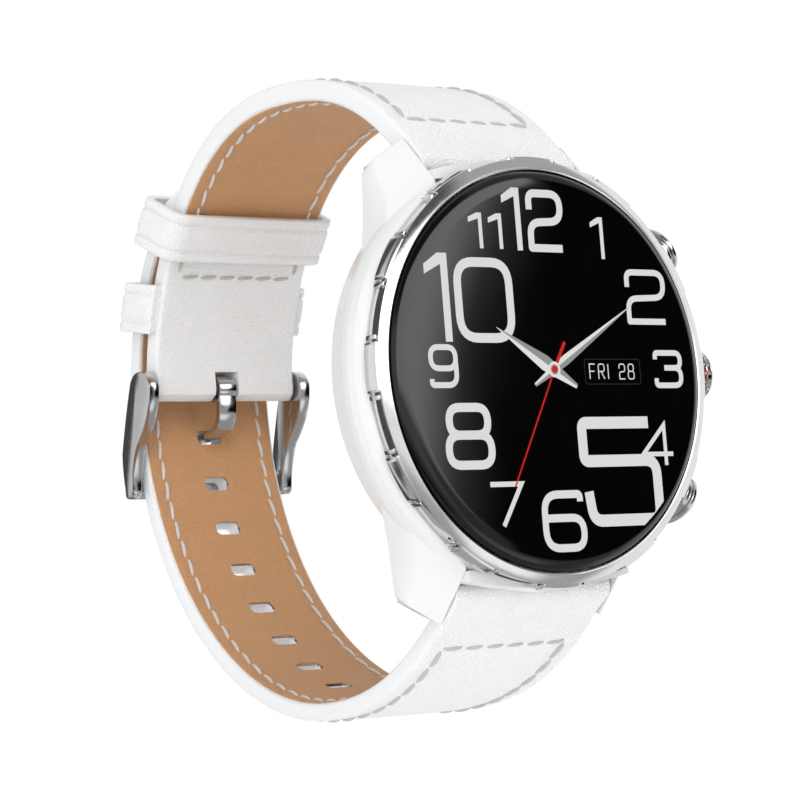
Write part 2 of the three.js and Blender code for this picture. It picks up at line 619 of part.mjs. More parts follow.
const AXLE = [0, 1, 0];
const pieces = {
  case_body: [caseBody(), 'caseWhite'],
  bezel_ring: [bezelRing(), 'steel'],
  cover_glass: [coverGlass(), 'glass'],
  glass_gasket: [sleeve(20.6, 21.5, 1.3, 1.6, [0, 0, 0], AXLE, 36), 'seal'],
  display_module: [rod(20.1, 1.35, 2.4, [0, 0, 0], AXLE, 36), 'blackPlastic'],
  inner_frame: [rod(20.1, 2.7, 3.4, [0, 0, 0], AXLE, 36), 'foil'],
  main_board: [mainBoard(), 'board'],
  battery: [battery(), 'foil'],
  haptic_motor: [rod(4, 3.8, 6.6, [-4, 0, 15.2], AXLE, 32), 'steel'],
  speaker: [inward(roundedRectangle(-9, -17.6, 2, -12, 1.5), 3.8, 7, 3), 'blackPlastic'],
  sensor_board: [rod(11.2, 8.9, 9.7, [0, 0, 0], AXLE, 36), 'board'],
  back_gasket: [sleeve(19.35, 20.15, 9.1, 9.35, [0, 0, 0], AXLE, 36), 'seal'],
  case_back: [caseBack(), 'darkSteel'],
  sensor_window: [sensorWindow(), 'glass'],
  crown_knob: [crownKnob(), 'steel'],
  crown_ring: [crownRing(), 'red'],
  crown_stem: [rod(STEM_RADIUS, 18.2, 25, CROWN_AT, CROWN_AXIS), 'darkSteel'],
  crown_encoder_wheel: [sleeve(0.85, 2, 18.4, 18.9, CROWN_AT, CROWN_AXIS), 'brass'],
  crown_thrust_washer: [sleeve(0.85, 1.9, 19.2, 19.5, CROWN_AT, CROWN_AXIS), 'darkSteel'],
  crown_tube: [sleeve(...TUBE_RADII, 20, 23.2, CROWN_AT, CROWN_AXIS), 'darkSteel'],
  crown_seal: [sealRing(22.4, CROWN_AT, CROWN_AXIS), 'seal'],
  crown_switch: [tactileSwitch(0, CROWN_DEPTH, 17.4), 'blackPlastic'],
  upper_strap_leather: [upperOuter(), 'whiteLeather'],
  upper_strap_lining: [upperLining(), 'tanLeather'],
  tail_strap_leather: [tailOuter(), 'whiteLeather'],
  tail_strap_lining: [tailLining(), 'tanLeather'],
  free_keeper: [freeKeeper(), 'whiteLeather'],
  fixed_keeper: [fixedKeeper(), 'whiteLeather'],
  buckle_frame: [buckleFrame(), 'steel'],
  buckle_bar: [buckleBar(), 'steel'],
  buckle_tongue: [tongue(), 'steel'],
  spring_bar_upper: [springBar(1), 'darkSteel'],
  spring_bar_lower: [springBar(-1), 'darkSteel'],
  release_lever_upper: [releaseLever(UPPER), 'steel'],
  release_lever_lower: [releaseLever(TAIL), 'steel'],
};

for (const [name, angle] of [['pusher_upper', PUSHER_ANGLE], ['pusher_lower', -PUSHER_ANGLE]]) {
  const axis = radial(angle);
  pieces[`${name}_button`] = [pusherButton(angle), 'steel'];
  pieces[`${name}_clip`] = [sleeve(0.85, 1.6, 19.2, 19.5, pusherAt, axis), 'darkSteel'];
  pieces[`${name}_tube`] = [sleeve(...TUBE_RADII, 20, 23, pusherAt, axis), 'darkSteel'];
  pieces[`${name}_seal`] = [sealRing(22.2, pusherAt, axis), 'seal'];
  pieces[`${name}_switch`] = [tactileSwitch(angle, PUSHER_DEPTH, 17.6), 'blackPlastic'];
}
screwPlaces().forEach((at, i) => {
  pieces[`case_screw_${i + 1}`] = [caseScrew(at), 'darkSteel'];
});
CONTACT_PLACES.forEach((at, i) => {
  pieces[`charge_contact_${i + 1}`] = [chargeContact(at), 'brass'];
});

function mesh(name, shape, finish) {
  const { vertProperties, triVerts } = shape.translate([0, -WRIST_DEPTH, 0]).getMesh();
  const geometry = new THREE.BufferGeometry();
  geometry.setAttribute('position', new THREE.BufferAttribute(new Float32Array(vertProperties), 3));
  geometry.setIndex(new THREE.BufferAttribute(new Uint32Array(triVerts), 1));
  geometry.computeVertexNormals();
  const [color, roughness, metalness] = finishes[finish];
  const result = new THREE.Mesh(
    geometry, new THREE.MeshStandardMaterial({ color, roughness, metalness }),
  );
  result.name = name;
  return result;
}

const watch = new THREE.Group();
for (const [name, [shape, finish]] of Object.entries(pieces)) watch.add(mesh(name, shape, finish));

export default watch;
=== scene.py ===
"""Looks of the round smartwatch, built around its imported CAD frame.

Shapes are drawn in millimetres with Y counted from the face of the glass, as on the drawing of the
part, and turned into metres in the row frame when each mesh is made.
"""

import json
import math
import random
from bisect import bisect_right
from contextlib import contextmanager

import bmesh
import bpy
from mathutils import Matrix, Vector


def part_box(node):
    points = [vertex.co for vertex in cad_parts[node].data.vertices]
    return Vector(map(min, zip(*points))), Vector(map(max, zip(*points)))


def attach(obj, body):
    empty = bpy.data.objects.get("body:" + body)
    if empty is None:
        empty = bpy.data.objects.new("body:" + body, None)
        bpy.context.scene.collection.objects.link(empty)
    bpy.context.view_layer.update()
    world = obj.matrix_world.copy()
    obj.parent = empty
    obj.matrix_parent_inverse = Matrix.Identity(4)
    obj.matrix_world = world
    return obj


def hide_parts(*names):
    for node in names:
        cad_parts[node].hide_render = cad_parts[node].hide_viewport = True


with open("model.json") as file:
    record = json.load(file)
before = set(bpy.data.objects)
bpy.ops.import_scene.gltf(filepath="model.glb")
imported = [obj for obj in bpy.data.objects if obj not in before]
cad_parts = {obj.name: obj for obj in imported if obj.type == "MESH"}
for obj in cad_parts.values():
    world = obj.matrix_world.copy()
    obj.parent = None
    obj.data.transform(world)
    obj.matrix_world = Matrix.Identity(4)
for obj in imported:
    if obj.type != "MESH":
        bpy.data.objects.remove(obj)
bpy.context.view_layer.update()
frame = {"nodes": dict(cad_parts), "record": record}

random.seed(28)

# ---- Dimensions, in millimetres, taken from the frame where it has them ----

MM = 0.001
FACE_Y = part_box("cover_glass")[0].y / MM
GLASS_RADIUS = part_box("cover_glass")[1].x / MM
BEZEL_WALL = 23.03
BEZEL_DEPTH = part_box("bezel_ring")[1].y / MM - FACE_Y
BAR_RADIUS = 0.65
LOOP_RADIUS = 1.45
SPRING_BAR = (7.3, 23.2)
BUCKLE_BAR = (61.4, 5.4)  # (Y, Z), as for the spring bar
LUG_INSIDE = 11.25
LUG_WIDTH = 22.0
TAPER = (12, 58)  # the Y between which a strap narrows
BUCKLE_WIDTH = 20.3
TAIL_WIDTH = 19.2
CHEEK_INSIDE = BUCKLE_WIDTH / 2 + 0.35
CHEEK_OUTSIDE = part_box("buckle_frame")[1].x / MM
CROWN_DEPTH = 5.5
FLUTE_COUNT = 20
PUSHER_DEPTH = 5.3
PUSHER_ANGLE = math.radians(33.5)
HOLE_PITCH = 6.0
HOLE_LENGTH = 3.5
HOLE_HEIGHT = 1.7
KEEPER_LENGTH = 6.0
KEEPER_WALL = 1.1
KEEPER_LEAN = 0.95  # along the strap, from the wrist's side to the outer side
X_AXIS = (1, 0, 0)
Y_AXIS = (0, 1, 0)


def row(point):
    """A point of the drawing, in millimetres, as a place in the row frame, in metres."""
    x, y, z = point
    return Vector((x, y + FACE_Y, z)) * MM


def smoothstep(value, low, high):
    t = min(max((value - low) / (high - low), 0), 1)
    return t * t * (3 - 2 * t)


def mix(a, b, share):
    return a + (b - a) * share


# ---- Materials ----


class Tree:
    """A node tree, with short names for what the materials and the studio have in common."""

    def __init__(self, tree):
        self.tree = tree

    def add(self, kind, **values):
        """A new node; a value goes to the input of that name, or else to the node's setting."""
        node = self.tree.nodes.new(kind)
        for key, value in values.items():
            if key in node.inputs:
                node.inputs[key].default_value = value
            else:
                setattr(node, key, value)
        return node

    def join(self, start, end):
        self.tree.links.new(start, end)

    def feed(self, slot, value):
        """Gives an input a number, or the output of another node."""
        if isinstance(value, (int, float)):
            slot.default_value = value
        else:
            self.join(value, slot)

    def math(self, operation, *terms):
        node = self.add("ShaderNodeMath", operation=operation)
        for slot, term in zip(node.inputs, terms):
            self.feed(slot, term)
        return node.outputs[0]

    def spread(self, value, low, high, start=0.3, end=0.7, **settings):
        """value between start and end becomes a number from low to high."""
        node = self.add("ShaderNodeMapRange", **settings)
        for key, number in zip(("From Min", "From Max", "To Min", "To Max"), (start, end, low, high)):
            node.inputs[key].default_value = number
        self.join(value, node.inputs["Value"])
        return node.outputs["Result"]


# Where a Mix node keeps its sockets for colours.
COLORS_IN = slice(6, 8)
COLOR_OUT = 2


class Nodes(Tree):
    """One material: its shader, and patterns of a real size fixed to the object."""

    def __init__(self, name, color, roughness, metallic=0.0):
        self.material = bpy.data.materials.new(name)
        self.material.use_nodes = True
        super().__init__(self.material.node_tree)
        self.shader = self.tree.nodes["Principled BSDF"]
        self.set("Base Color", (*color, 1))
        self.set("Roughness", roughness)
        self.set("Metallic", metallic)
        self.place = self.add("ShaderNodeTexCoord").outputs["Object"]
        self.material.diffuse_color = (*color, 1)

    def set(self, name, value):
        """Makes an input of the shader the same all over."""
        self.shader.inputs[name].default_value = value

    def vary(self, name, value):
        """Lets a pattern drive an input of the shader."""
        self.join(value, self.shader.inputs[name])

    def noise(self, per_mm, detail=3.0, stretch=(1, 1, 1)):
        """Noise with that many features a millimetre, stretched along the axes."""
        scaled = self.add("ShaderNodeMapping", Scale=stretch)
        self.join(self.place, scaled.inputs["Vector"])
        node = self.add("ShaderNodeTexNoise", Scale=per_mm / MM, Detail=detail)
        self.join(scaled.outputs["Vector"], node.inputs["Vector"])
        return node.outputs["Fac"]

    def creases(self, per_mm):
        """0 on the lines of a net with that many cells a millimetre, and more away from them."""
        node = self.add("ShaderNodeTexVoronoi", Scale=per_mm / MM, feature="DISTANCE_TO_EDGE")
        self.join(self.place, node.inputs["Vector"])
        return node.outputs["Distance"]

    def blend(self, share, first, second):
        """The first colour where share is 0, the second where it is 1."""
        node = self.add("ShaderNodeMix", data_type="RGBA")
        for slot, color in zip(node.inputs[COLORS_IN], (first, second)):
            slot.default_value = (*color, 1)
        self.join(share, node.inputs[0])
        return node.outputs[COLOR_OUT]

    def bump(self, height, depth_mm):
        """Relief of that depth, on top of any relief there is already."""
        node = self.add("ShaderNodeBump", Strength=1.0, Distance=depth_mm * MM)
        before = self.shader.inputs["Normal"]
        if before.links:
            self.join(before.links[0].from_socket, node.inputs["Normal"])
        self.join(height, node.inputs["Height"])
        self.join(node.outputs["Normal"], before)


def faded(color, share):
    return tuple(c * share for c in color)


def satin_white():
    n = Nodes("case_white", (0.73, 0.735, 0.735), 0.3)
    n.set("Coat Weight", 0.35)
    n.set("Coat Roughness", 0.12)
    n.vary("Roughness", n.spread(n.noise(0.35, 4), 0.27, 0.36))
    n.vary("Base Color", n.blend(n.noise(0.08), (0.72, 0.725, 0.725), (0.75, 0.755, 0.755)))
    n.bump(n.noise(9, 2), 0.004)
    return n.material


def metal(name, color, low, high, per_mm, stretch=(1, 1, 1), depth=0.002):
    """Steel whose polish varies a little, with marks that run along the short axes of stretch."""
    n = Nodes(name, color, (low + high) / 2, 1.0)
    n.vary("Roughness", n.spread(n.noise(per_mm, 5, stretch), low, high))
    n.vary("Base Color", n.blend(n.spread(n.noise(0.3), 0, 1), color, faded(color, 0.93)))
    n.bump(n.noise(per_mm * 2, 2, stretch), depth)
    return n.material


def black_glass():
    n = Nodes("black_glass", (0.0012, 0.0012, 0.0014), 0.03)
    n.set("IOR", 1.5)
    n.vary("Roughness", n.spread(n.noise(0.12, 4), 0.02, 0.045))
    n.vary("Base Color", n.blend(n.noise(0.2), (0.001, 0.001, 0.0012), (0.0016, 0.0016, 0.0018)))
    return n.material


def leather(name, pale, shaded, roughness, depth, per_mm=3.0):
    """Fine leather: a net of creases darkened with painted shade, finer pores, and a slow random change in
    its colour.
    """
    n = Nodes(name, pale, roughness)
    net = n.creases(per_mm)
    # Darker along the lines of the crease net: painted shade in the creases, multiplied with a slow random
    # change of colour.
    tone_and_crease_shade = n.math("MULTIPLY", n.spread(n.noise(0.25, 5), 0.75, 1), n.spread(net, 0, 1, 0, 0.12))
    n.vary("Base Color", n.blend(tone_and_crease_shade, faded(shaded, 0.9), pale))
    n.vary("Roughness", n.spread(n.noise(1.5, 4), roughness - 0.08, roughness + 0.08))
    n.bump(n.spread(net, 0, 1, 0, 0.16), depth)
    n.bump(n.noise(per_mm * 1.2, 3), depth * 0.6)
    n.bump(n.noise(0.3, 2), depth * 3)
    n.set("Sheen Weight", 0.08)
    return n.material


def edge_paint():
    n = Nodes("edge_paint", (0.74, 0.75, 0.76), 0.5)
    n.vary("Base Color", n.blend(n.noise(0.6, 4), (0.72, 0.73, 0.74), (0.77, 0.78, 0.79)))
    n.vary("Roughness", n.spread(n.noise(1.2), 0.42, 0.58))
    n.bump(n.noise(2.5, 3), 0.02)
    return n.material


def thread(name, color):
    n = Nodes(name, color, 0.7)
    n.vary("Base Color", n.blend(n.noise(4, 3), color, faded(color, 0.8)))
    n.bump(n.noise(7, 2, (1, 2, 2)), 0.06)
    n.set("Sheen Weight", 0.2)
    return n.material


def plastic(name, color, roughness):
    n = Nodes(name, color, roughness)
    lighter = tuple(min(1, c * 1.2 + 0.005) for c in color)
    n.vary("Base Color", n.blend(n.noise(0.5, 3), color, lighter))
    n.vary("Roughness", n.spread(n.noise(2, 3), roughness - 0.06, roughness + 0.08))
    n.bump(n.noise(5, 3), 0.01)
    return n.material


def lit(name, color):
    """What the display shows: it gives its own light and reflects almost nothing."""
    n = Nodes(name, (0.01, 0.01, 0.01), 0.6)
    n.set("Emission Color", (*color, 1))
    n.set("Emission Strength", 1.0)
    n.set("Specular IOR Level", 0.05)
    n.vary("Roughness", n.spread(n.noise(6, 1), 0.55, 0.65))
    return n.material


WHITE = satin_white()
STEEL = metal("polished_steel", (0.77, 0.77, 0.78), 0.07, 0.14, 1.2)
CHROME = metal("buckle_chrome", (0.6, 0.6, 0.605), 0.08, 0.15, 1.5)
PLAIN_STEEL = metal("plain_steel", (0.5, 0.51, 0.52), 0.28, 0.42, 3, (1, 0.15, 1))
BRASS = metal("gold_contacts", (0.72, 0.52, 0.2), 0.2, 0.34, 2)
FOIL = metal("foil_metal", (0.42, 0.44, 0.47), 0.35, 0.5, 0.7, depth=0.02)
GLASS = black_glass()
RED = metal("red_ring", (0.62, 0.012, 0.018), 0.25, 0.35, 3)
# The second colour of each leather is the painted shade in its creases.
WHITE_LEATHER = leather("white_leather", (0.885, 0.89, 0.895), (0.86, 0.865, 0.87), 0.52, 0.055)
TAN_LEATHER = leather("tan_lining", (0.64, 0.335, 0.15), (0.57, 0.295, 0.13), 0.62, 0.06, 3.4)
EDGE = edge_paint()
THREAD = thread("outer_thread", (0.52, 0.515, 0.5))
LINING_THREAD = thread("lining_thread", (0.68, 0.67, 0.655))
RUBBER = plastic("seal_rubber", (0.03, 0.03, 0.032), 0.8)
BOARD = plastic("circuit_board", (0.02, 0.12, 0.06), 0.5)
BLACK = plastic("black_plastic", (0.02, 0.02, 0.022), 0.5)
NUMERAL = lit("numeral_light", (0.69, 0.69, 0.68))
HAND_PALE = lit("hand_pale_facet", (0.72, 0.72, 0.7))
HAND_DARK = lit("hand_dark_facet", (0.27, 0.27, 0.27))
HAND_RED = lit("hand_red", (0.56, 0.002, 0.004))
DATE_BOX = lit("date_box", (0.012, 0.012, 0.013))

# ---- Mesh making ----


SEAM = 1e-7  # metres within which points are one


def placed(name, data):
    """A new object in the scene."""
    obj = bpy.data.objects.new(name, data)
    bpy.context.scene.collection.objects.link(obj)
    return obj


@contextmanager
def editing(mesh):
    """Opens a mesh for bmesh operations and writes it back."""
    bm = bmesh.new()
    bm.from_mesh(mesh)
    yield bm
    bm.to_mesh(mesh)
    bm.free()


def drawn(name, points, faces):
    """An object from points in millimetres, with its seams joined and its faces turned outwards."""
    mesh = bpy.data.meshes.new(name)
    mesh.from_pydata([row(p) for p in points], [], faces)
    with editing(mesh) as bm:
        bmesh.ops.remove_doubles(bm, verts=bm.verts, dist=SEAM)
        bmesh.ops.recalc_face_normals(bm, faces=bm.faces)
    return placed(name, mesh)


def piece(name, points, faces, material, body, slot, sharp=35, bevel=0, steps=3):
    """One visible piece; edges sharper than the angle stay crisp, or are bevelled."""
    obj = drawn(name, points, faces)
    for one in material if isinstance(material, list) else [material]:
        obj.data.materials.append(one)
    if bevel:
        round_edges(obj, bevel, steps, sharp)
    shade(obj.data, sharp)
    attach(obj, body)
    return obj


def shade(mesh, sharp=35):
    mesh.shade_smooth()
    mesh.set_sharp_from_angle(angle=math.radians(sharp))


def settle(obj):
    """Applies an object's modifiers."""
    graph = bpy.context.evaluated_depsgraph_get()
    made = bpy.data.meshes.new_from_object(obj.evaluated_get(graph))
    obj.modifiers.clear()
    obj.data = made


def round_edges(obj, width, steps, sharp):
    modifier = obj.modifiers.new("bevel", "BEVEL")
    modifier.width = width * MM
    modifier.segments = steps
    modifier.limit_method = "ANGLE"
    modifier.angle_limit = math.radians(sharp)
    settle(obj)


def carve(obj, shape, operation="DIFFERENCE"):
    """Cuts a shape, given as points and faces, out of an object."""
    tool = drawn("tool", *shape)
    modifier = obj.modifiers.new("carve", "BOOLEAN")
    modifier.operation = operation
    modifier.solver = "EXACT"
    modifier.object = tool
    settle(obj)
    bpy.data.objects.remove(tool)


def rectangle(left, bottom, right, top):
    return [(left, bottom), (right, bottom), (right, top), (left, top)]


def arch(a, b, c, steps=10):
    """A curve from a to c that is pulled towards b."""
    a, b, c = Vector(a), Vector(b), Vector(c)
    return [
        tuple(a * (1 - t) ** 2 + b * 2 * t * (1 - t) + c * t * t)
        for t in (i / steps for i in range(steps + 1))
    ]


def carry_on(line, pull, end, steps=10):
    """Carries a line on to end by a curve that is pulled towards a point."""
    line += arch(line[-1], pull, end, steps)[1:]


def bezier(a, b, c, d, steps):
    """A curve from a to d that is pulled towards b and then c."""
    return [
        tuple(
            Vector(a) * (1 - t) ** 3 + Vector(b) * 3 * t * (1 - t) ** 2
            + Vector(c) * 3 * t * t * (1 - t) + Vector(d) * t ** 3
        )
        for t in (i / steps for i in range(steps + 1))
    ]


def rounded(corners, radius, steps=4, closed=True):
    """The corners of an outline, or of an open line, rounded to a radius where there is room.

    A corner may bring a radius of its own as a third number.
    """
    count = len(corners)
    result = []
    for i, corner in enumerate(corners):
        if not closed and i in (0, count - 1):
            result.append(tuple(corner[:2]))
            continue
        c = Vector(corner[:2])
        before = Vector(corners[i - 1][:2]) - c
        after = Vector(corners[(i + 1) % count][:2]) - c
        angle = before.angle(after)
        own = corner[2] if len(corner) > 2 else radius
        wanted = own / max(math.tan(angle / 2), 1e-6)
        reach = min(wanted, before.length * 0.49, after.length * 0.49)
        start = c + before.normalized() * reach
        end = c + after.normalized() * reach
        result += arch(start, c, end, steps)
    return result


def loft(rings, closed=False, capped=True):
    """Points and faces of a tube through rings of equally many points."""
    size = len(rings[0])
    points = [p for ring in rings for p in ring]
    faces = []
    spans = len(rings) if closed else len(rings) - 1
    for i in range(spans):
        a, b = i * size, ((i + 1) % len(rings)) * size
        for k in range(size):
            m = (k + 1) % size
            faces.append((a + k, a + m, b + m, b + k))
    if capped and not closed:
        faces.append(tuple(range(size)))
        faces.append(tuple(len(points) - 1 - k for k in range(size)))
    return points, faces


def about(axis, origin, radius, angle, along):
    """The point at a radius and angle about an axis through origin."""
    turn = Vector(Y_AXIS).rotation_difference(Vector(axis))
    flat = Vector((radius * math.sin(angle), along, radius * math.cos(angle)))
    return Vector(origin) + turn @ flat


def lathe(profile, segments=192, origin=(0, 0, 0), axis=Y_AXIS, flute=None, closed=False):
    """Turns a profile of (radius, along); flute(angle, radius, along) is added to the radius."""
    rings = []
    for i in range(segments):
        angle = 2 * math.pi * i / segments
        ring = []
        for radius, along in profile:
            change = flute(angle, radius, along) if flute else 0
            ring.append(tuple(about(axis, origin, max(radius + change, 0), angle, along)))
        rings.append(ring)
    points, faces = loft(rings, closed=True)
    if not closed:  # loft() joins the profile's end to its start
        size = len(profile)
        faces = [f for k, f in enumerate(faces) if k % size != size - 1]
    return points, faces


def prism(outline, start, end, lay):
    """A closed outline pushed from start to end; lay(a, b, depth) gives the point."""
    rings = [[lay(a, b, depth) for a, b in outline] for depth in (start, end)]
    return loft(rings)


def along_x(y, z, x):
    return (x, y, z)


def along_y(x, z, y):
    return (x, y, z)


def along_z(x, y, z):
    return (x, y, z)


def merged(*parts):
    """Several shapes, each as points and faces, as one."""
    points, faces = [], []
    for more, sides in parts:
        shift = len(points)
        points += more
        faces += [tuple(i + shift for i in f) for f in sides]
    return points, faces


def mesh_parts(obj):
    """An object's own points in millimetres of the drawing, and its faces."""
    points = [(v.co.x / MM, v.co.y / MM - FACE_Y, v.co.z / MM) for v in obj.data.vertices]
    return points, [tuple(p.vertices) for p in obj.data.polygons]


# ---- Case ----


def case_ring():
    """The case without its lugs, turned from corners of (radius, depth)."""
    corners = [
        (20.4, 1.9), (21.6, 1.9), (21.6, 3.25), (22.9, 3.25), (23.3, 3.7), (23.45, 4.6), (23.45, 5.8),
        (23.3, 6.8), (22.1, 10.2), (21.7, 10.7), (20.6, 10.7), (20.6, 8.85), (17, 8.85), (17, 8.3),
        (20.4, 8.3),
    ]
    return lathe(rounded(corners, 0.25, 3), 288, closed=True)


def slice_off(body, point, normal):
    """Cuts away all of an object that lies beyond the plane, and closes it."""
    with editing(body.data) as bm:
        cut = bmesh.ops.bisect_plane(
            bm, geom=bm.verts[:] + bm.edges[:] + bm.faces[:], dist=SEAM,
            plane_co=row(point), plane_no=normal.normalized(), clear_outer=True,
        )
        rim = [e for e in cut["geom_cut"] if isinstance(e, bmesh.types.BMEdge)]
        bmesh.ops.contextual_create(bm, geom=rim)


def lug():
    """The lug at 12 o'clock on the crown side, with its broad sloping facet."""
    root, far = 12, 27.6
    facet_start, facet_end = (3.5, 20.8), (8.6, 26.4)
    profile = [(4.2, 12.5), (3.3, 16), facet_start, facet_end]
    carry_on(profile, (9.9, 27.7), (10.7, 26.9), 3)
    carry_on(profile, (11.7, 26.1), (11.9, 23.2), 4)
    carry_on(profile, (12.0, 19.2), (8.0, 12.5), 16)
    body = drawn("lug", *prism(profile, LUG_INSIDE, 20, along_x))
    plan = [(LUG_INSIDE - 1, root), (19.4, root)]
    carry_on(plan, (15.5, 17.4), (14.9, 22), 12)
    carry_on(plan, (14.6, 25.6), (12.6, far), 4)
    plan += [(LUG_INSIDE - 1, far)]
    carve(body, prism(plan, 2, 14, along_y), "INTERSECT")
    start, end = Vector((LUG_INSIDE, *facet_start)), Vector((LUG_INSIDE, *facet_end))
    crease = Vector((14.3, 6.4, 20.2))
    outwards = (crease - start).cross(end - start)
    slice_off(body, start, outwards if outwards.y < 0 else -outwards)
    slice_off(body, Vector((LUG_INSIDE, 8.7, 26.5)), Vector((6.8, 7.3, 13.1)))
    with editing(body.data) as bm:  # short edges would hold the rounding back
        bmesh.ops.remove_doubles(bm, verts=bm.verts, dist=0.35 * MM)
        bmesh.ops.dissolve_degenerate(bm, edges=bm.edges, dist=0.05 * MM)
    round_edges(body, 0.5, 4, 16)
    made = mesh_parts(body)
    bpy.data.objects.remove(body)
    return made


def flipped(part, x=1, z=1):
    """A shape mirrored in X or in Z."""
    points, faces = part
    return [(p[0] * x, p[1], p[2] * z) for p in points], [tuple(reversed(f)) for f in faces]


def make_case():
    one = lug()
    outline = [(-LUG_INSIDE, 20.9), (LUG_INSIDE, 20.9), (LUG_INSIDE, 22)]
    carry_on(outline, (0, 24.3), (-LUG_INSIDE, 22), 24)
    end = prism(outline, BEZEL_DEPTH + 0.3, 5.5, along_y)
    lugs = [one, flipped(one, -1), flipped(one, 1, -1), flipped(one, -1, -1)]
    points, faces = merged(case_ring(), *lugs, end, flipped(end, 1, -1))
    case = piece("case_shell", points, faces, WHITE, "head", "case_white", sharp=28)
    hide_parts("case_body")


# ---- Bezel and glass ----

PLATE_COUNT = 12
PLATE_HALF = math.radians(6.5)
PLATE_OFFSET = math.radians(-1)
RIDGE_GAPS = (0.012, 0.034)  # radians from a plate's end to the near and far side of its ridge


def arc_block(corners, start, end, steps=18):
    """A closed profile of (radius, depth) carried along an arc, angles from the crown."""
    rings = []
    for i in range(steps + 1):
        angle = mix(start, end, i / steps)
        rings.append([(r * math.cos(angle), y, r * math.sin(angle)) for r, y in corners])
    return loft(rings)


def cone_depth(radius):
    """Depth of the bezel's front cone, which the plates carry on outwards."""
    return 0.6 + 0.38 * (radius - 21.95)


def make_bezel():
    rim = rounded([
        (21.74, 1.1), (21.8, 0.7), (22.0, cone_depth(22.0)), (BEZEL_WALL, cone_depth(BEZEL_WALL)),
        (BEZEL_WALL - 0.25, BEZEL_DEPTH), (21.74, BEZEL_DEPTH),
    ], 0.06, 3)
    ring = piece(
        "bezel_rim", *lathe(rim, 360, closed=True), STEEL, "head", "polished_steel", sharp=25,
    )
    wall = BEZEL_WALL + 0.3
    inside = BEZEL_WALL - 0.5
    plate = [
        (inside, cone_depth(inside) + 0.02), (wall, cone_depth(wall)), (wall, BEZEL_DEPTH - 0.02),
        (inside, BEZEL_DEPTH - 0.02),
    ]
    pad = [
        (wall - 0.2, cone_depth(wall) + 0.2), (wall + 0.02, cone_depth(wall) + 0.2),
        (wall + 0.2, BEZEL_DEPTH - 0.22), (wall - 0.2, BEZEL_DEPTH - 0.22),
    ]
    ridge = [
        (inside, 1.3), (BEZEL_WALL + 0.24, 1.3), (BEZEL_WALL + 0.24, BEZEL_DEPTH - 0.1),
        (inside, BEZEL_DEPTH - 0.1),
    ]
    plates, pads = [], []
    for i in range(PLATE_COUNT):
        middle = PLATE_OFFSET + 2 * math.pi * i / PLATE_COUNT
        plates.append(arc_block(plate, middle - PLATE_HALF, middle + PLATE_HALF))
        pads.append(arc_block(pad, middle - PLATE_HALF + 0.01, middle + PLATE_HALF - 0.01))
        for side in (-1, 1):
            ends = sorted(middle + side * (PLATE_HALF + gap) for gap in RIDGE_GAPS)
            pads.append(arc_block(ridge, *ends, 3))
    for name, parts, bevel in (("bezel_plates", plates, 0.05), ("bezel_pads", pads, 0.08)):
        piece(name, *merged(*parts), STEEL, "head", "polished_steel", sharp=25, bevel=bevel)
    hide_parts("bezel_ring")


def make_glass():
    profile = [(0, 0), (10, 0), (19.6, 0)]
    carry_on(profile, (20.9, 0.03), (21.4, 0.42), 20)
    carry_on(profile, (GLASS_RADIUS, 0.6), (GLASS_RADIUS, 0.95), 6)
    profile += [(GLASS_RADIUS - 0.1, 1.05), (0, 1.05)]
    glass = piece("glass_front", *lathe(profile, 288), GLASS, "head", "black_glass", sharp=50)
    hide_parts("cover_glass")


# ---- Display graphics, on the front plane of the glass ----

DRAW = 0.985  # the drawing's size on the glass
DISPLAY_RADIUS = 20.4
LAYER = 0.015  # from one layer of the drawing to the next
DATE_BOX_SIDES = (4.5, 1.15, 12.69, -1.6)
SECONDS_TIP, SECONDS_TAIL = (-6.91, -12.68), (1.79, 3.02)


def ribbon(line, width, level=1, closed=False):
    """A flat line of that width, drawn in (X, Z)."""
    points = [Vector(p) for p in line]
    count = len(points)
    left, right = [], []
    for i, p in enumerate(points):
        before = points[i - 1] if closed or i else p * 2 - points[1]
        after = points[(i + 1) % count] if closed or i < count - 1 else p * 2 - points[-2]
        a, b = (p - before).normalized(), (after - p).normalized()
        half = (a + b).normalized()
        reach = width / 2 / max(half.dot(a), 0.35)
        side = Vector((-half.y, half.x)) * reach
        left.append(p + side)
        right.append(p - side)
    y = -level * LAYER
    flat = [(p.x, y, p.y) for pair in zip(left, right) for p in pair]
    faces = []
    for i in range(count if closed else count - 1):
        k = (i + 1) % count
        faces.append((2 * i, 2 * i + 1, 2 * k + 1, 2 * k))
    return flat, faces


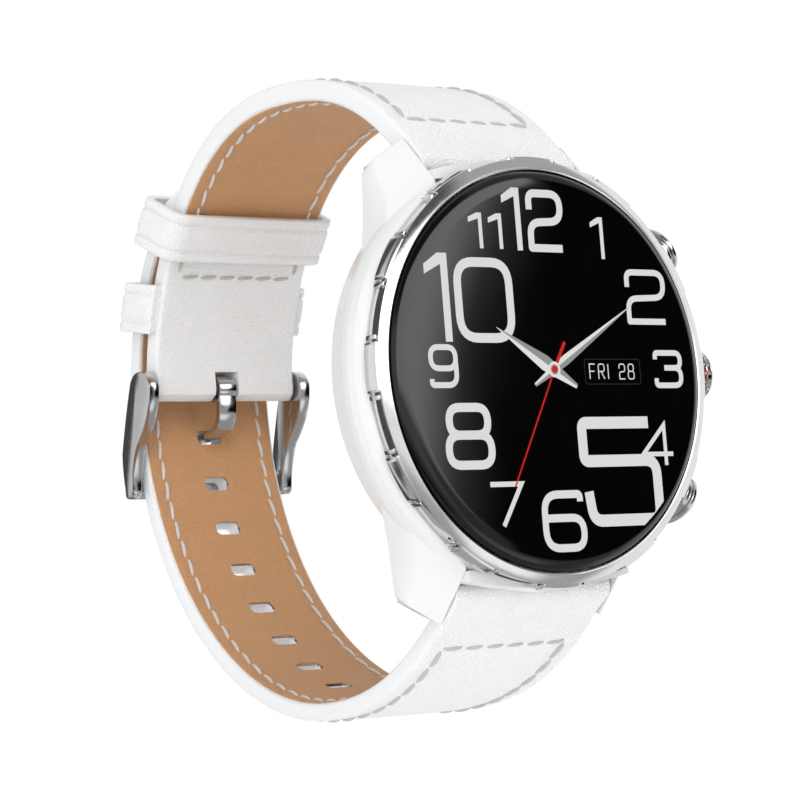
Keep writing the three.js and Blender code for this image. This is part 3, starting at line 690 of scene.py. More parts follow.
# Each glyph is one or more lines in a box of 1 by 1; True closes the line.
GLYPHS = {
    "0": [([(0, 0), (1, 0), (1, 1), (0, 1)], True)],
    "2": [([(0, 0.7), (0, 1), (1, 1), (1, 0.5), (0, 0.46), (0, 0, 0.05), (1, 0)], False)],
    "3": [
        ([(0, 0.8), (0, 1), (1, 1), (1, 0.54), (0.35, 0.54)], False),
        ([(0.35, 0.54), (1, 0.54), (1, 0), (0, 0), (0, 0.22)], False),
    ],
    "4": [([(0.75, 0), (0.75, 1), (0, 0.28), (1, 0.28)], False)],
    "5": [([
        (0.93, 1), (0, 1, 0.7), (0, 0.61, 0.7), (1, 0.61, 1.6), (1, 0, 1.2), (0.07, 0, 1.5), (0.03, 0.3),
    ], False)],
    "6": [([(0.95, 0.86), (0.95, 1), (0, 1), (0, 0), (1, 0), (1, 0.56), (0.05, 0.56)], False)],
    "7": [([(0, 1), (1, 1), (0.34, 0)], False)],
    "8": [
        ([(0.05, 0.52), (0.95, 0.52), (0.95, 1), (0.05, 1)], True),
        ([(0, 0), (1, 0), (1, 0.52), (0, 0.52)], True),
    ],
    "9": [
        ([(0, 0.44), (1, 0.44), (1, 1), (0, 1)], True),
        ([(1, 0.6), (1, 0), (0, 0), (0, 0.16)], False),
    ],
    "F": [([(1, 1), (0, 1), (0, 0)], False), ([(0, 0.52), (0.85, 0.52)], False)],
    "R": [([(0, 0), (0, 1), (1, 1), (1, 0.5), (0, 0.5)], False), ([(0.45, 0.5), (1, 0)], False)],
    "I": [([(0.5, 0), (0.5, 1)], False)],
}
SHARP_GLYPHS = "47FI"


def digit_one(left, right, bottom, top, width):
    """The bar of the 1 with its steep flag, cut square at the top."""
    bar = right - width
    flag = top - (top - bottom) * 0.13 if bar - left > width else top - (top - bottom) * 0.2
    outline = [
        (right, bottom), (right, top), (bar - width * 0.35, top), (left, flag),
        (left, flag - width * 1.1), (bar, top - width * 1.25), (bar, bottom),
    ]
    return [(x, -LAYER, z) for x, z in outline], [tuple(range(len(outline)))]


def glyph(character, box, width, level=1):
    """A glyph whose outside fits a box of (left, top, right, bottom)."""
    left, top, right, bottom = (v * DRAW for v in box)
    if character == "1":
        return [digit_one(left, right, bottom, top, width)]
    inset = width / 2
    left, right, top, bottom = left + inset, right - inset, top - inset, bottom + inset
    parts = []
    for line, closed in GLYPHS[character]:
        placed = [(mix(left, right, a), mix(bottom, top, b), *own) for a, b, *own in line]
        if character not in SHARP_GLYPHS:
            placed = rounded(placed, min(abs(right - left) * 0.36, 2.3), 7, closed)
        placed = [p[:2] for p in placed]
        parts.append(ribbon(placed, width, level, closed))
    return parts


NUMERALS = [
    ("1", (-5.6, 19.9, -3.03, 13.0), 0.75), ("2", (-2.16, 19.8, 3.15, 12.9), 0.85),
    ("1", (-10.5, 16.98, -8.6, 13.1), 0.5), ("1", (-7.7, 16.98, -5.8, 13.1), 0.5),
    ("1", (-17.15, 12.48, -13.9, 2.95), 0.95), ("0", (-13.2, 12.1, -4.97, 2.87), 1.02),
    ("9", (-17.47, 2.68, -13.44, -2.0), 0.62), ("8", (-16.07, -3.59, -9.23, -10.71), 0.95),
    ("7", (-10.62, -12.07, -5.7, -17.12), 0.55), ("6", (-3.43, -13.19, 2.89, -19.88), 0.85),
    ("4", (11.88, -5.96, 16.92, -10.95), 0.5), ("3", (14.79, 2.21, 19.2, -2.07), 0.62),
    ("2", (11.44, 11.28, 17.57, 5.06), 0.68), ("1", (7.0, 17.01, 8.87, 12.34), 0.5),
    ("5", (2.63, -5.22, 14.6, -17.3), 1.3),
]
DATE = [
    ("F", (5.1, 0.68, 6.05, -1.1), 0.13), ("R", (6.4, 0.68, 7.4, -1.1), 0.13),
    ("I", (7.55, 0.68, 8.25, -1.1), 0.13), ("2", (9.5, 0.68, 10.45, -1.1), 0.13),
    ("8", (10.8, 0.68, 11.8, -1.1), 0.13),
]


def show(name, shape, material):
    """One piece of the display's picture."""
    return piece(f"display_{name}", *shape, material, "head", "black_glass")


def make_numerals():
    parts = []
    for character, box, width in NUMERALS:
        parts += glyph(character, box, width)
    for character, box, width in DATE:
        parts += glyph(character, box, width, 2)
    numerals = show("numerals", merged(*parts), NUMERAL)
    for degrees in range(-75, -10, 3):  # the display's edge, where the 5 runs over it
        outward = Vector((math.cos(math.radians(degrees)), 0, math.sin(math.radians(degrees))))
        slice_off(numerals, outward * DISPLAY_RADIUS, outward)
    left, top, right, bottom = (v * DRAW for v in DATE_BOX_SIDES)
    corners = rounded(rectangle(left, bottom, right, top), 0.3)
    show("date_box", ribbon(corners, 0.08, closed=True), DATE_BOX)


def make_hand(name, tip, tail_length, widths, level):
    """A hand with a pale and a dark facet; widths are at the root and the tail's end."""
    direction = Vector(tip) * DRAW
    length = direction.length
    direction.normalize()
    side = Vector((-direction.y, direction.x))
    root, end = widths
    spine = [-tail_length, 0, length * 0.16, length]
    breadth = [end, root * 0.85, root, 0.06]
    low = -level * LAYER
    for material, sign, label in ((HAND_PALE, 1, "pale"), (HAND_DARK, -1, "dark")):
        points = []
        for s, b in zip(spine, breadth):
            middle = direction * s
            edge = middle + side * sign * b / 2
            points += [(middle.x, low - 0.02, middle.y), (edge.x, low, edge.y)]
        faces = [(2 * i, 2 * i + 1, 2 * i + 3, 2 * i + 2) for i in range(3)]
        show(f"{name}_{label}", (points, faces), material)


def disc(radius, level, sides=48):
    angles = [2 * math.pi * i / sides for i in range(sides)]
    ring = [(radius * math.cos(a), -level * LAYER, radius * math.sin(a)) for a in angles]
    return ring, [tuple(range(sides))]


def make_hands():
    make_hand("hour_hand", (-7.75, 4.58), 3.6, (1.75, 0.5), 3)
    make_hand("minute_hand", (12.03, 7.13), 3.3, (1.15, 0.4), 4)
    tip, tail = Vector(SECONDS_TIP) * DRAW, Vector(SECONDS_TAIL) * DRAW
    thin = ribbon([tuple(tail * 0.2), tuple(tip)], 0.2, 6)
    thick = ribbon([tuple(tail), tuple(tail * 0.2)], 0.42, 6)
    show("seconds_hand", merged(thin, thick), HAND_RED)
    hub = (("ring", 0.85, HAND_PALE), ("gap", 0.55, HAND_DARK), ("dot", 0.4, HAND_RED))
    for level, (name, radius, material) in enumerate(hub, 7):
        show(f"hub_{name}", disc(radius, level), material)


# ---- Crown and pushers ----


def make_crown():
    def flutes(angle, radius, along):
        inside = smoothstep(along, 25.05, 25.2) - smoothstep(along, 25.75, 25.95)
        wave = max(0, math.cos(FLUTE_COUNT * angle)) ** 0.6
        return -0.28 * wave * inside if radius > 2.9 else 0

    def teeth(angle, radius, along):
        return -0.3 * (0.5 + 0.5 * math.cos(FLUTE_COUNT * angle)) if radius > 2.5 else 0

    profile = [(0, 25.0), (2.6, 25.0), (2.8, 25.03), (2.95, 25.12)]
    profile += [(2.98, 25.12 + 0.07 * i) for i in range(1, 11)]
    profile += [(3.0, 25.9), (2.8, 26.08), (2.5, 26.17), (1.2, 26.28), (0, 26.3)]
    knob = lathe(profile, 320, (0, CROWN_DEPTH, 0), X_AXIS, flutes)
    made = piece("crown_cap", *knob, CHROME, "crown", "polished_steel", sharp=32)
    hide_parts("crown_knob")
    rim = [(0.9, 24.1), (2.9, 24.1), (3.1, 24.2), (3.1, 24.9), (3.0, 24.98), (0.9, 24.98)]
    ring = lathe(rim, 320, (0, CROWN_DEPTH, 0), X_AXIS, teeth, closed=True)
    made = piece("crown_red_ring", *ring, RED, "crown", "red_ring", sharp=30)
    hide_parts("crown_ring")


def make_pusher(side, label):
    corners = [
        (0, 18.6), (0.6, 18.6), (0.6, 24.1), (2.6, 24.1), (2.95, 24.4), (2.95, 24.78), (2.7, 24.86),
        (2.7, 25.1), (3, 25.2), (3, 25.6), (2.55, 26.1), (1.4, 26.35), (0, 26.4),
    ]
    profile = rounded(corners, 0.09, 3, closed=False)
    axis = (math.cos(PUSHER_ANGLE), 0, side * math.sin(PUSHER_ANGLE))
    button = lathe(profile, 160, (0, PUSHER_DEPTH, 0), axis)
    body = f"pusher_{label}"
    made = piece(f"{body}_cap", *button, CHROME, body, "polished_steel", sharp=30)
    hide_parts(f"{body}_button")


# ---- Strap ----


class Strap:
    """One strap's middle line in (Y, Z), from the spring bar on, with its width and side."""

    def __init__(self, curves, wrist_side, end_width, half_thickness):
        line = [Vector(p) for curve in curves for p in bezier(*curve, steps=160)]
        self.points = [p for i, p in enumerate(line) if i == 0 or (p - line[i - 1]).length > 1e-6]
        self.reach = [0.0]
        for a, b in zip(self.points, self.points[1:]):
            self.reach.append(self.reach[-1] + (b - a).length)
        self.length = self.reach[-1]
        self.wrist_side = wrist_side
        self.end_width = end_width
        self.half = half_thickness

    def along(self, distance):
        """The point at a distance, the direction there and the one towards the wrist."""
        low = min(max(bisect_right(self.reach, distance) - 1, 0), len(self.reach) - 2)
        a, b = self.points[low], self.points[low + 1]
        ahead = (b - a).normalized()
        at = a + ahead * (distance - self.reach[low])
        nearby = max(low - 3, 0), min(low + 4, len(self.points) - 1)
        ahead = (self.points[nearby[1]] - self.points[nearby[0]]).normalized()
        return at, ahead, Vector((ahead.y, -ahead.x)) * self.wrist_side

    def half_width(self, distance):
        y = self.along(distance)[0].x
        return LUG_WIDTH / 2 * mix(1, self.end_width / LUG_WIDTH, smoothstep(y, *TAPER))

    def point(self, distance, x, offset):
        """The place at x across the strap, and offset towards the wrist from its middle."""
        at, _, inward = self.along(distance)
        at = at + inward * offset
        return (x, at.x, at.y)

    def distance_at_height(self, z):
        """The distance on the buckle's half of the strap at which the middle line has that Z."""
        half = self.length / 2
        steps = [half + half * i / 600 for i in range(601)]
        return min(steps, key=lambda d: abs(self.along(d)[0].y - z))

    def first_distance_at(self, height):
        """The distance from the spring bar at which the strap first passes that height."""
        steps = [i * 0.05 for i in range(400)]
        return min(steps, key=lambda d: abs(abs(self.along(d)[0].y) - height))

    def lay_through(self, distance):
        """A way for prism() to lay an outline of (across, along) and push it through the strap."""
        at, ahead, inward = self.along(distance)

        def lay(x, s, depth):
            p = at + ahead * s + inward * depth
            return (x, p.x, p.y)

        return lay


UPPER = Strap([
    (SPRING_BAR, (14.5, 31.6), (20.5, 35.4), (33.6, 35.4)),
    ((33.6, 35.4), (54.3, 35.4), (61.6, 12.5), BUCKLE_BAR),
], 1, BUCKLE_WIDTH, 1.25)
TAIL = Strap([
    ((SPRING_BAR[0], -SPRING_BAR[1]), (14, -30.2), (21, -34.5), (32, -34.5)),
    ((32, -34.5), (50.3, -34.5), (65.85, -18.3), (65.85, 3.7)),
    ((65.85, 3.7), (66.2, 17), (57.5, 26.4), (52.8, 30.3)),
], -1, TAIL_WIDTH, 1.05)
FOLD_START = UPPER.length - 17.5
LINING_START = 2.7
LINING_PROUD = 0.12
SIDE_ROW = 2.3  # a row of stitches, from the strap's edge
LINING_ROW = 2.1
CROSS_ROW_HEIGHT = 27.9
GROOVE = 0.14
GROOVE_HALF = 0.45
CROWNING = 0.12
HOLE_COUNT = 9
TONGUE_HOLE = TAIL.distance_at_height(-0.25)
HOLES = [TONGUE_HOLE + (1 - i) * HOLE_PITCH for i in range(HOLE_COUNT)]
OUTER_STITCH = {"pitch": 2.9, "gap": 0.16, "slant": 0.12, "thickness": 0.5}
LINING_STITCH = {"pitch": 2.65, "gap": 0.3, "slant": 0.15, "thickness": 0.38}


def across(half_width, outer, inner, edge, groove=0.0, crown=0.0, steps=30):
    """The strap's cross-section as (x, offset), outer side first, with rounded edges."""
    flat = half_width - edge
    section = []
    for i in range(steps + 1):
        x = mix(-flat, flat, i / steps)
        from_row = abs(abs(x) - (half_width - SIDE_ROW))
        sink = groove * math.exp(-((from_row / GROOVE_HALF) ** 2))
        rise = crown * (1 - (x / half_width) ** 2)
        section.append((x, outer + sink - rise))
    section += arch((flat, outer), (half_width, outer), (half_width, outer + edge), 4)[1:]
    section += arch((half_width, inner - edge), (half_width, inner), (flat, inner), 4)
    section += [(mix(flat, -flat, i / steps), inner) for i in range(1, steps)]
    section += arch((-flat, inner), (-half_width, inner), (-half_width, inner - edge), 4)
    section += arch((-half_width, outer + edge), (-half_width, outer), (-flat, outer), 4)[:-1]
    return section


def strap_rings(strap, start, end, section, spacing=0.7):
    """Rings of points; section(distance) gives the cross-section there."""
    count = max(2, round((end - start) / spacing))
    rings = []
    for i in range(count + 1):
        distance = mix(start, end, i / count)
        rings.append([strap.point(distance, x, o) for x, o in section(distance)])
    return rings


def loop_half(strap, distance, far_loop):
    """Half the strap's thickness, which ends in a loop round the bar."""
    from_end = distance
    if far_loop and distance > strap.length / 2:
        from_end = strap.length - distance
    if from_end < 0:
        return math.sqrt(max(LOOP_RADIUS ** 2 - from_end ** 2, 0.01))
    return mix(LOOP_RADIUS, strap.half, smoothstep(from_end, 0, 3.2))


def leather_body(strap, start, end, lined_until, far_loop):
    """The white leather; the lining lies in its inner side."""
    def section(distance):
        half = loop_half(strap, distance, far_loop)
        lined = smoothstep(distance, 2.2, 2.9) - smoothstep(distance, lined_until, lined_until + 0.1)
        inner = half - LINING_PROUD * lined
        groove = GROOVE * smoothstep(distance, 5.5, 7)
        crown = CROWNING * smoothstep(distance, 2, 6)
        return across(strap.half_width(distance), -half, inner, min(0.5, half * 0.6), groove, crown)

    return strap_rings(strap, start, end, section)


def lining_body(strap, end, inset=0.42):
    def section(distance):
        return across(strap.half_width(distance) - inset, strap.half - 0.4, strap.half, 0.12)

    return strap_rings(strap, LINING_START, end, section)


def paint_edges(obj):
    """The faces that look sideways take the second material, the edge paint."""
    for face in obj.data.polygons:
        if abs(face.normal.x) > 0.55:
            face.material_index = 1


def stitch(start, end, out, thickness, steps=8, sides=8):
    """One thread between two holes: it rises from the leather and sinks back at both ends."""
    rings = []
    side = (end - start).normalized().cross(out)
    for i in range(steps + 1):
        t = i / steps
        rise = max(0, math.sin(math.pi * t)) ** 0.5
        size = thickness / 2 * (0.6 + 0.4 * rise)
        middle = start.lerp(end, t) + out * thickness * (0.42 * rise - 0.22)
        ring = []
        for k in range(sides):
            angle = 2 * math.pi * k / sides
            spot = middle + side * math.cos(angle) * size * 1.15 + out * math.sin(angle) * size
            ring.append(tuple(spot))
        rings.append(ring)
    return loft(rings)


def away(strap, distance, offset):
    """The direction out of the strap there, on the side on which the offset lies."""
    inward = strap.along(distance)[2]
    return Vector((0, inward.x, inward.y)) * (1 if offset > 0 else -1)


def stitches_along(strap, start, end, from_edge, offset, pitch, gap, slant, thickness):
    """Two rows of stitches, one along each edge of a strap."""
    parts = []
    for side in (-1, 1):
        for i in range(int((end - start) / pitch)):
            near = start + i * pitch
            far = near + pitch - gap
            wobble = random.uniform(-0.05, 0.05)
            ends = []
            for distance, shift in ((near, slant), (far, -slant)):
                x = side * (strap.half_width(distance) - from_edge + shift + wobble)
                ends.append(Vector(strap.point(distance, x, offset)))
            parts.append(stitch(*ends, away(strap, (near + far) / 2, offset), thickness))
    return parts


def stitches_across(strap, distance, half_span, offset, gap, thickness, count=6, tilt=0.1):
    """One row of stitches across the strap."""
    parts = []
    out = away(strap, distance, offset)
    pitch = 2 * half_span / count
    for i in range(count):
        x = -half_span + i * pitch + gap / 2
        a = Vector(strap.point(distance + tilt, x, offset))
        b = Vector(strap.point(distance - tilt, x + pitch - gap, offset))
        parts.append(stitch(a, b, out, thickness))
    return parts


def sew(strap, label, outer_end, lining_end):
    """The stitches of one strap: a row across near the lugs, and rows along both edges."""
    begin = strap.first_distance_at(CROSS_ROW_HEIGHT)
    outer = stitches_across(strap, begin, 8.7, -strap.half + 0.02, 0.3, 0.5)
    outer += stitches_along(strap, begin + 0.4, outer_end, SIDE_ROW, -strap.half + 0.03, **OUTER_STITCH)
    piece(f"{label}_outer_stitches", *merged(*outer), THREAD, "head", "white_leather")
    inner = stitches_along(strap, 4, lining_end, LINING_ROW, strap.half, **LINING_STITCH)
    piece(f"{label}_lining_stitches", *merged(*inner), LINING_THREAD, "head", "tan_lining")


def strap_hole(distance):
    """A helper shape for a rounded hole punched square through the tail."""
    a, b = HOLE_LENGTH / 2, HOLE_HEIGHT / 2
    outline = rounded(rectangle(-a, -b, a, b), HOLE_HEIGHT * 0.42, 6)
    return prism(outline, -3, 3, TAIL.lay_through(distance))


def make_upper_strap():
    end = UPPER.length + LOOP_RADIUS - 0.02
    rings = leather_body(UPPER, -LOOP_RADIUS + 0.02, end, FOLD_START, True)
    strap = piece("upper_strap", *loft(rings), [WHITE_LEATHER, EDGE], "head", "white_leather", sharp=40)
    carve(strap, prism(rectangle(-1.7, 55, 1.7, 68), 0, BUCKLE_BAR[1] + 2, along_z))
    paint_edges(strap)
    shade(strap.data, 40)
    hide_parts("upper_strap_leather")
    rings = lining_body(UPPER, FOLD_START - 0.15)
    lining = piece("upper_lining", *loft(rings), TAN_LEATHER, "head", "tan_lining", sharp=40)
    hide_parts("upper_strap_lining")
    sew(UPPER, "upper", UPPER.length - 4, FOLD_START - 0.6)
    fold_row = UPPER.length - 14.2
    thickness = LINING_STITCH["thickness"]
    fold = stitches_across(UPPER, fold_row, 8.1, UPPER.half, 0.45, thickness)
    for x in (-8.5, 8.5):
        ends = [Vector(UPPER.point(fold_row - reach, x, UPPER.half)) for reach in (0.6, 2.4)]
        fold.append(stitch(*ends, away(UPPER, fold_row - 1.5, UPPER.half), thickness))
    piece("fold_stitches", *merged(*fold), THREAD, "head", "white_leather")


def make_tail_strap():
    rings = leather_body(TAIL, -LOOP_RADIUS + 0.02, TAIL.length, TAIL.length + 5, False)
    strap = piece("tail_strap", *loft(rings), [WHITE_LEATHER, EDGE], "head", "white_leather", sharp=40)
    rings = lining_body(TAIL, TAIL.length)
    lining = piece("tail_lining", *loft(rings), TAN_LEATHER, "head", "tan_lining", sharp=40)
    for target in (strap, lining):
        carve(target, merged(*[strap_hole(distance) for distance in HOLES]))
        carve(target, tip_waste())
        shade(target.data, 40)
    paint_edges(strap)
    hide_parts("tail_strap_leather")
    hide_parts("tail_strap_lining")
    sew(TAIL, "tail", TAIL.length - 7, TAIL.length - 7)


def tip_waste():
    """What is cut away round the rounded tip of the tail."""
    outline = [(-10, -9)]
    carry_on(outline, (-9, -0.4), (0, -0.3), 20)
    carry_on(outline, (9, -0.4), (10, -9), 20)
    outline += [(12, -9), (12, 6), (-12, 6), (-12, -9)]
    return prism(outline, -6, 6, TAIL.lay_through(TAIL.length))


# ---- Keepers ----


def tail_offset(distance):
    """How far outside the upper strap's middle the tail's middle lies there."""
    at, ahead, inward = UPPER.along(distance)
    steps = 300
    ways = [TAIL.along(TAIL.length * (0.6 + 0.4 * i / (steps - 1)))[0] - at for i in range(steps)]
    nearest = min(ways, key=lambda way: abs(way.dot(ahead)))
    return -nearest.dot(inward)


def keeper_profile():
    """The band's cross-section as (along the strap, out from its inner face), with two grooves."""
    half, wall = KEEPER_LENGTH / 2, KEEPER_WALL
    profile = []
    for i in range(25):
        s = mix(-half + 0.35, half - 0.35, i / 24)
        groove = 0.26 * math.exp(-(((abs(s) - 1.7) / 0.24) ** 2))
        profile.append((s, wall - groove - 0.12 * (s / half) ** 4))
    profile += arch((half - 0.35, wall - 0.08), (half, wall), (half, wall - 0.4), 4)[1:]
    profile += [(half, 0.12), (half - 0.1, 0), (-half + 0.1, 0), (-half, 0.12)]
    return profile + arch((-half, wall - 0.4), (-half, wall), (-half + 0.35, wall - 0.08), 4)[:-1]


def band(distance, near, room, radius, near_wall, wall):
    """A leather band round both straps, its near side that far wristwards of the upper's middle."""
    at, ahead, inward = UPPER.along(distance)
    far = -tail_offset(distance) - TAIL.half - room
    half = BUCKLE_WIDTH / 2 + room
    path = rounded(rectangle(-half, far, half, near), radius, 8)
    middle = Vector((0, (far + near) / 2))
    profile = keeper_profile()
    rings = []
    for i, spot in enumerate(path):
        p = Vector(spot)
        tangent = (Vector(path[(i + 1) % len(path)]) - Vector(path[i - 1])).normalized()
        out = Vector((tangent.y, -tangent.x))
        if out.dot(p - middle) < 0:
            out = -out
        thickness = near_wall if out.y > 0.7 else wall
        ring = []
        for s, h in profile:
            q = p + out * h * thickness / KEEPER_WALL
            lean = KEEPER_LEAN * (near - q.y) / (near - far)
            place = at + ahead * (s + lean) + inward * q.y
            ring.append((q.x, place.x, place.y))
        rings.append(ring)
    return loft(rings, closed=True)


def make_keepers():
    free = band(UPPER.length - 19.7, UPPER.half + 0.6, 0.6, 1.4, KEEPER_WALL, KEEPER_WALL)
    made = piece("keeper_free", *free, WHITE_LEATHER, "keeper", "white_leather", sharp=50)
    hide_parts("free_keeper")
    fixed = band(UPPER.length - 9.8, 0.8, 0.4, 1.2, 0.3, 0.9)
    made = piece("keeper_fixed", *fixed, WHITE_LEATHER, "head", "white_leather", sharp=50)
    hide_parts("fixed_keeper")


# ---- Buckle ----


def cheek_outline():
    """A cheek of the buckle in (Y, Z): an eye round the bar, a waist, and a foot below."""
    y, z = BUCKLE_BAR
    eye, eye_end, steps = 2.15, 0.35, 20
    angles = [mix(math.pi, eye_end, i / steps) for i in range(steps + 1)]
    outline = [(y + eye * math.cos(a), z + eye * math.sin(a)) for a in angles]
    carry_on(outline, (y + 3.4, z - 2.8), (y + 4.65, z - 7.2))
    carry_on(outline, (y + 4.9, z - 9.6), (y + 4.4, z - 12.4))
    carry_on(outline, (y + 3.7, z - 13.2), (y + 3.1, z - 12.2))
    carry_on(outline, (y + 3, z - 9.6), (y + 1.4, z - 6.6))
    carry_on(outline, (y - 2, z - 3.4), (y - eye, z))
    return outline[:-1]


def crossbar_outline():
    """The bar behind the strap in (X, Y), bent forwards to a cheek at each end."""
    y = BUCKLE_BAR[0]
    start, outer, inner = y + 3.2, y + 6.4, y + 5.3
    outer_bend, inner_bend = CHEEK_OUTSIDE - 3.4, CHEEK_INSIDE - 1.4
    outline = [(-CHEEK_OUTSIDE, start)]
    carry_on(outline, (-CHEEK_OUTSIDE, outer), (-outer_bend, outer))
    outline += arch((outer_bend, outer), (CHEEK_OUTSIDE, outer), (CHEEK_OUTSIDE, start))
    outline += arch((CHEEK_INSIDE, start), (CHEEK_INSIDE, inner), (inner_bend, inner))
    return outline + arch((-inner_bend, inner), (-CHEEK_INSIDE, inner), (-CHEEK_INSIDE, start))


def make_buckle():
    y, z = BUCKLE_BAR
    outline = cheek_outline()
    sides = ((-CHEEK_OUTSIDE, -CHEEK_INSIDE), (CHEEK_INSIDE, CHEEK_OUTSIDE))
    cheeks = merged(*[prism(outline, start, end, along_x) for start, end in sides])
    made = piece("buckle_cheeks", *cheeks, CHROME, "buckle", "polished_steel", sharp=30, bevel=0.14)
    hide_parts("buckle_frame")
    crossbar = prism(crossbar_outline(), z - 12.7, z - 9.7, along_z)
    piece("buckle_crossbar", *crossbar, CHROME, "buckle", "polished_steel", sharp=30, bevel=0.35, steps=4)
    reach = CHEEK_OUTSIDE - 0.3
    ends = [(0, -reach), (BAR_RADIUS, -reach), (BAR_RADIUS, reach), (0, reach)]
    pin = lathe(ends, 48, (0, y, z), X_AXIS)
    made = piece("buckle_pin_bar", *pin, CHROME, "buckle", "polished_steel", sharp=40)
    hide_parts("buckle_bar")


def make_tongue():
    """A blade swept from its eye round the bar, down the strap and into the hole."""
    y, z = BUCKLE_BAR
    line = bezier((y - 0.9, z - 0.9), (y - 1.2, z - 4.6), (y + 0.6, z - 5.5), (y + 3.4, z - 5.5), 24)
    line += bezier((y + 3.4, z - 5.5), (y + 6.6, z - 5.5), (y + 7, z - 6.4), (y + 7, z - 9), 24)[1:]
    line += [(y + 6.95, z - 11), (y + 6.9, z - 13)]
    rings = []
    for i, p in enumerate(line):
        a = Vector(line[max(i - 1, 0)])
        b = Vector(line[min(i + 1, len(line) - 1)])
        ahead = (b - a).normalized()
        normal = Vector((-ahead.y, ahead.x))
        share = i / (len(line) - 1)
        half = 0.4 - 0.12 * smoothstep(share, 0.7, 1)
        wide = 1.25 - 0.1 * smoothstep(share, 0.8, 1)
        section = rounded(rectangle(-wide, -half, wide, half), 0.16, 3)
        rings.append([(x, p[0] + normal.x * o, p[1] + normal.y * o) for x, o in section])
    eye = rounded(rectangle(0.95, -1.25, 1.6, 1.25), 0.15, 3)
    blade = merged(loft(rings), lathe(eye, 64, (0, y, z), X_AXIS, closed=True))
    made = piece("tongue_blade", *blade, CHROME, "tongue", "polished_steel", sharp=32)
    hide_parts("buckle_tongue")


# ---- Carried-over CAD nodes, by the record's slot ----

SLOT_MATERIALS = {
    "case_white": WHITE, "polished_steel": STEEL, "plain_steel": PLAIN_STEEL, "black_glass": GLASS,
    "seal_rubber": RUBBER, "red_ring": RED, "circuit_board": BOARD, "black_plastic": BLACK,
    "brass_contacts": BRASS, "foil_metal": FOIL, "white_leather": WHITE_LEATHER, "tan_lining": TAN_LEATHER,
}


def finish_nodes():
    for entry in frame["record"]["subparts"]:
        node = frame["nodes"][entry["node"]]
        node.data.materials.clear()
        node.data.materials.append(SLOT_MATERIALS[entry["material_slot"]])
        shade(node.data, 30)


# ---- Studio ----

DIAL_CENTRE = row((0, 0, 0))
AZIMUTH, ELEVATION, ROLL = (math.radians(v) for v in (-38.69, -5.21, -4.48))
DISTANCE = 340.4 * MM
LENS = 143.145
SENSOR = 36.0
DIAL_IN_FRAME = (0.1924, 0.0381)
FLOOR_Z = -0.11
FLOOR_GLOW = 0.32


def make_camera():
    """The camera stands DISTANCE in front of the dial, which lies off the middle of the frame."""
    data = bpy.data.cameras.new("camera")
    data.lens = LENS
    data.sensor_width = SENSOR
    data.clip_start, data.clip_end = 0.01, 50
    camera = placed("camera", data)
    level = math.cos(ELEVATION)
    ahead = Vector((-math.sin(AZIMUTH) * level, math.cos(AZIMUTH) * level, -math.sin(ELEVATION)))
    flat_right = ahead.cross(Vector((0, 0, 1))).normalized()
    flat_up = flat_right.cross(ahead)
    right = math.cos(ROLL) * flat_right + math.sin(ROLL) * flat_up
    up = math.cos(ROLL) * flat_up - math.sin(ROLL) * flat_right
    aside, above = (share * SENSOR / LENS for share in DIAL_IN_FRAME)
    camera.matrix_world = Matrix.Translation(
        DIAL_CENTRE - DISTANCE * (ahead + right * aside + up * above)
    ) @ Matrix((right, up, -ahead)).transposed().to_4x4()
    bpy.context.scene.camera = camera


def area_light(name, place, size, power):
    """A soft light aimed at the watch, itself unseen by the camera and by the gloss."""
    data = bpy.data.lights.new(name, "AREA")
    data.shape = "RECTANGLE"
    data.size, data.size_y = size
    data.energy = power
    light = placed(name, data)
    light.location = place
    light.rotation_mode = "QUATERNION"
    light.rotation_quaternion = (-Vector(place)).to_track_quat("-Z", "Y")
    light.visible_camera = False
    light.visible_glossy = False


def make_floor():
    half = 6.0
    corners = rectangle(-half, -half, half, half)
    mesh = bpy.data.meshes.new("floor")
    mesh.from_pydata([(x, y, FLOOR_Z) for x, y in corners], [], [(0, 1, 2, 3)])
    floor = placed("floor", mesh)
    floor.visible_glossy = False
    n = Nodes("pale_floor", (0.9, 0.9, 0.9), 0.8)
    n.set("Emission Color", (1, 1, 1, 1))
    n.set("Emission Strength", FLOOR_GLOW)
    n.vary("Roughness", n.spread(n.noise(0.01), 0.75, 0.85))
    mesh.materials.append(n.material)


# Soft cards that only the gloss of the materials sees: brightness, then the middle and the half
# width of the card in degrees of azimuth (from the dial's front towards the crown) and of height,
# and how far its edges fade in each.
CARDS = (
    ("left wall", 0.94, (-40, 62), (6, 22), (8, 14)),
    ("wall behind at the left", 0.95, (-118, 22), (4, 40), (8, 14)),
    ("wall behind the buckle", 0.72, (-140, 8), (4, 40), (4, 14)),
    ("dark far behind", 0.08, (-160, 12), (0, 60), (5, 14)),
    ("dark front, above", 0.1, (-16, 44), (46, 20), (12, 16)),
    ("front, below", 0.42, (20, 80), (-50, 32), (12, 16)),
    ("bright patch below", 1.1, (28, 12), (-27, 8), (10, 8)),
    ("bright patch below right", 1.0, (72, 14), (-22, 12), (10, 8)),
    ("dark slit at the left", 0.04, (-88, 5), (0, 60), (4, 10)),
    ("dark strip low at the left", 0.1, (-70, 70), (-34, 6), (6, 8)),
    ("strip before the glass", 2.7, (8, 28.5), (16, 15), (2.4, 7)),
    ("dark side before the glass", 0.0, (54.5, 16.5), (6, 19), (2.4, 5)),
    ("right wall", 1.0, (108, 36), (10, 50), (8, 16)),
    ("dark slit at the right", 0.05, (150, 8), (0, 60), (4, 10)),
    ("roof", 0.75, (90, 95), (74, 12), (12, 12)),
)
BETWEEN_CARDS = 0.45
GLASS_LEAN = 0.33  # how much the cards before the glass lean aside with height
SKY_LIGHT = 0.74
SKY_SLOPE = 0.16  # added towards the top and taken away towards the ground


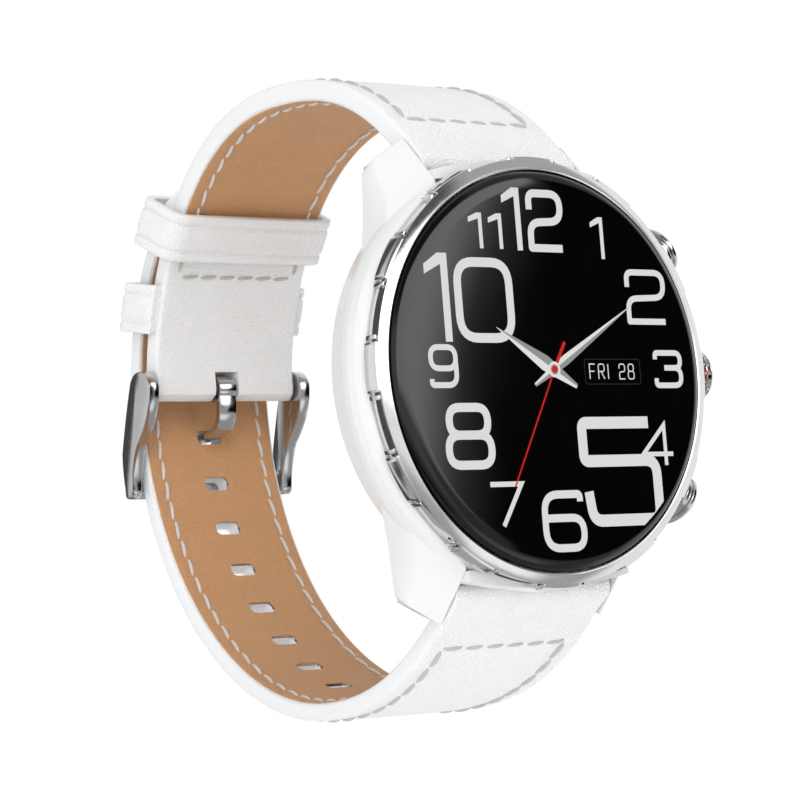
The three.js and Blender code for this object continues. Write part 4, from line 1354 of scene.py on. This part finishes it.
def make_world():
    """White for the camera, an even soft light on everything, and cards for the gloss to mirror."""
    world = bpy.data.worlds.new("studio")
    bpy.context.scene.world = world
    world.use_nodes = True
    world.node_tree.nodes.clear()
    sky = Tree(world.node_tree)

    def inside(value, middle, half, fade):
        """1 where value lies within half of middle, fading to 0 over the edge."""
        off = sky.math("ABSOLUTE", sky.math("SUBTRACT", value, middle))
        return sky.spread(off, 1, 0, half - fade / 2, half + fade / 2, interpolation_type="SMOOTHSTEP")

    def background(strength):
        node = sky.add("ShaderNodeBackground", Color=(1, 1, 1, 1))
        sky.feed(node.inputs["Strength"], strength)
        return node.outputs[0]

    def choose(share, *shaders):
        node = sky.add("ShaderNodeMixShader")
        for slot, output in zip(node.inputs, (share, *shaders)):
            sky.join(output, slot)
        return node.outputs[0]

    split = sky.add("ShaderNodeSeparateXYZ")
    sky.join(sky.add("ShaderNodeTexCoord").outputs["Generated"], split.inputs[0])
    x, y, z = split.outputs
    to_degrees = 180 / math.pi
    azimuth = sky.math("MULTIPLY", sky.math("ARCTAN2", x, sky.math("MULTIPLY", y, -1.0)), to_degrees)
    height = sky.math("MULTIPLY", sky.math("ARCSINE", z), to_degrees)
    leaning = sky.math("SUBTRACT", azimuth, sky.math("MULTIPLY", height, GLASS_LEAN))
    gloss = BETWEEN_CARDS
    for name, brightness, (middle, half), (high, reach), (soft, soft_height) in CARDS:
        sideways = leaning if name.endswith("the glass") else azimuth
        masks = inside(sideways, middle, half, soft), inside(height, high, reach, soft_height)
        change = sky.math("SUBTRACT", brightness, gloss)
        gloss = sky.math("MULTIPLY_ADD", change, sky.math("MULTIPLY", *masks), gloss)
    even = sky.math("MULTIPLY_ADD", z, SKY_SLOPE, SKY_LIGHT)
    path = sky.add("ShaderNodeLightPath")
    unseen = choose(path.outputs["Is Glossy Ray"], background(even), background(gloss))
    seen = choose(path.outputs["Is Camera Ray"], unseen, background(1.0))
    sky.join(seen, sky.add("ShaderNodeOutputWorld").inputs["Surface"])


def make_studio():
    make_floor()
    make_world()
    area_light("key", (-0.4, -0.75, 0.65), (0.5, 0.5), 3.2)
    area_light("left_fill", (-0.85, -0.55, 0.05), (0.4, 0.6), 2.3)
    bpy.context.scene.view_settings.view_transform = "Standard"


# ---- Everything ----

finish_nodes()
make_case()
make_bezel()
make_glass()
make_numerals()
make_hands()
make_crown()
make_pusher(1, "upper")
make_pusher(-1, "lower")
make_upper_strap()
make_tail_strap()
make_keepers()
make_buckle()
make_tongue()
make_camera()
make_studio()
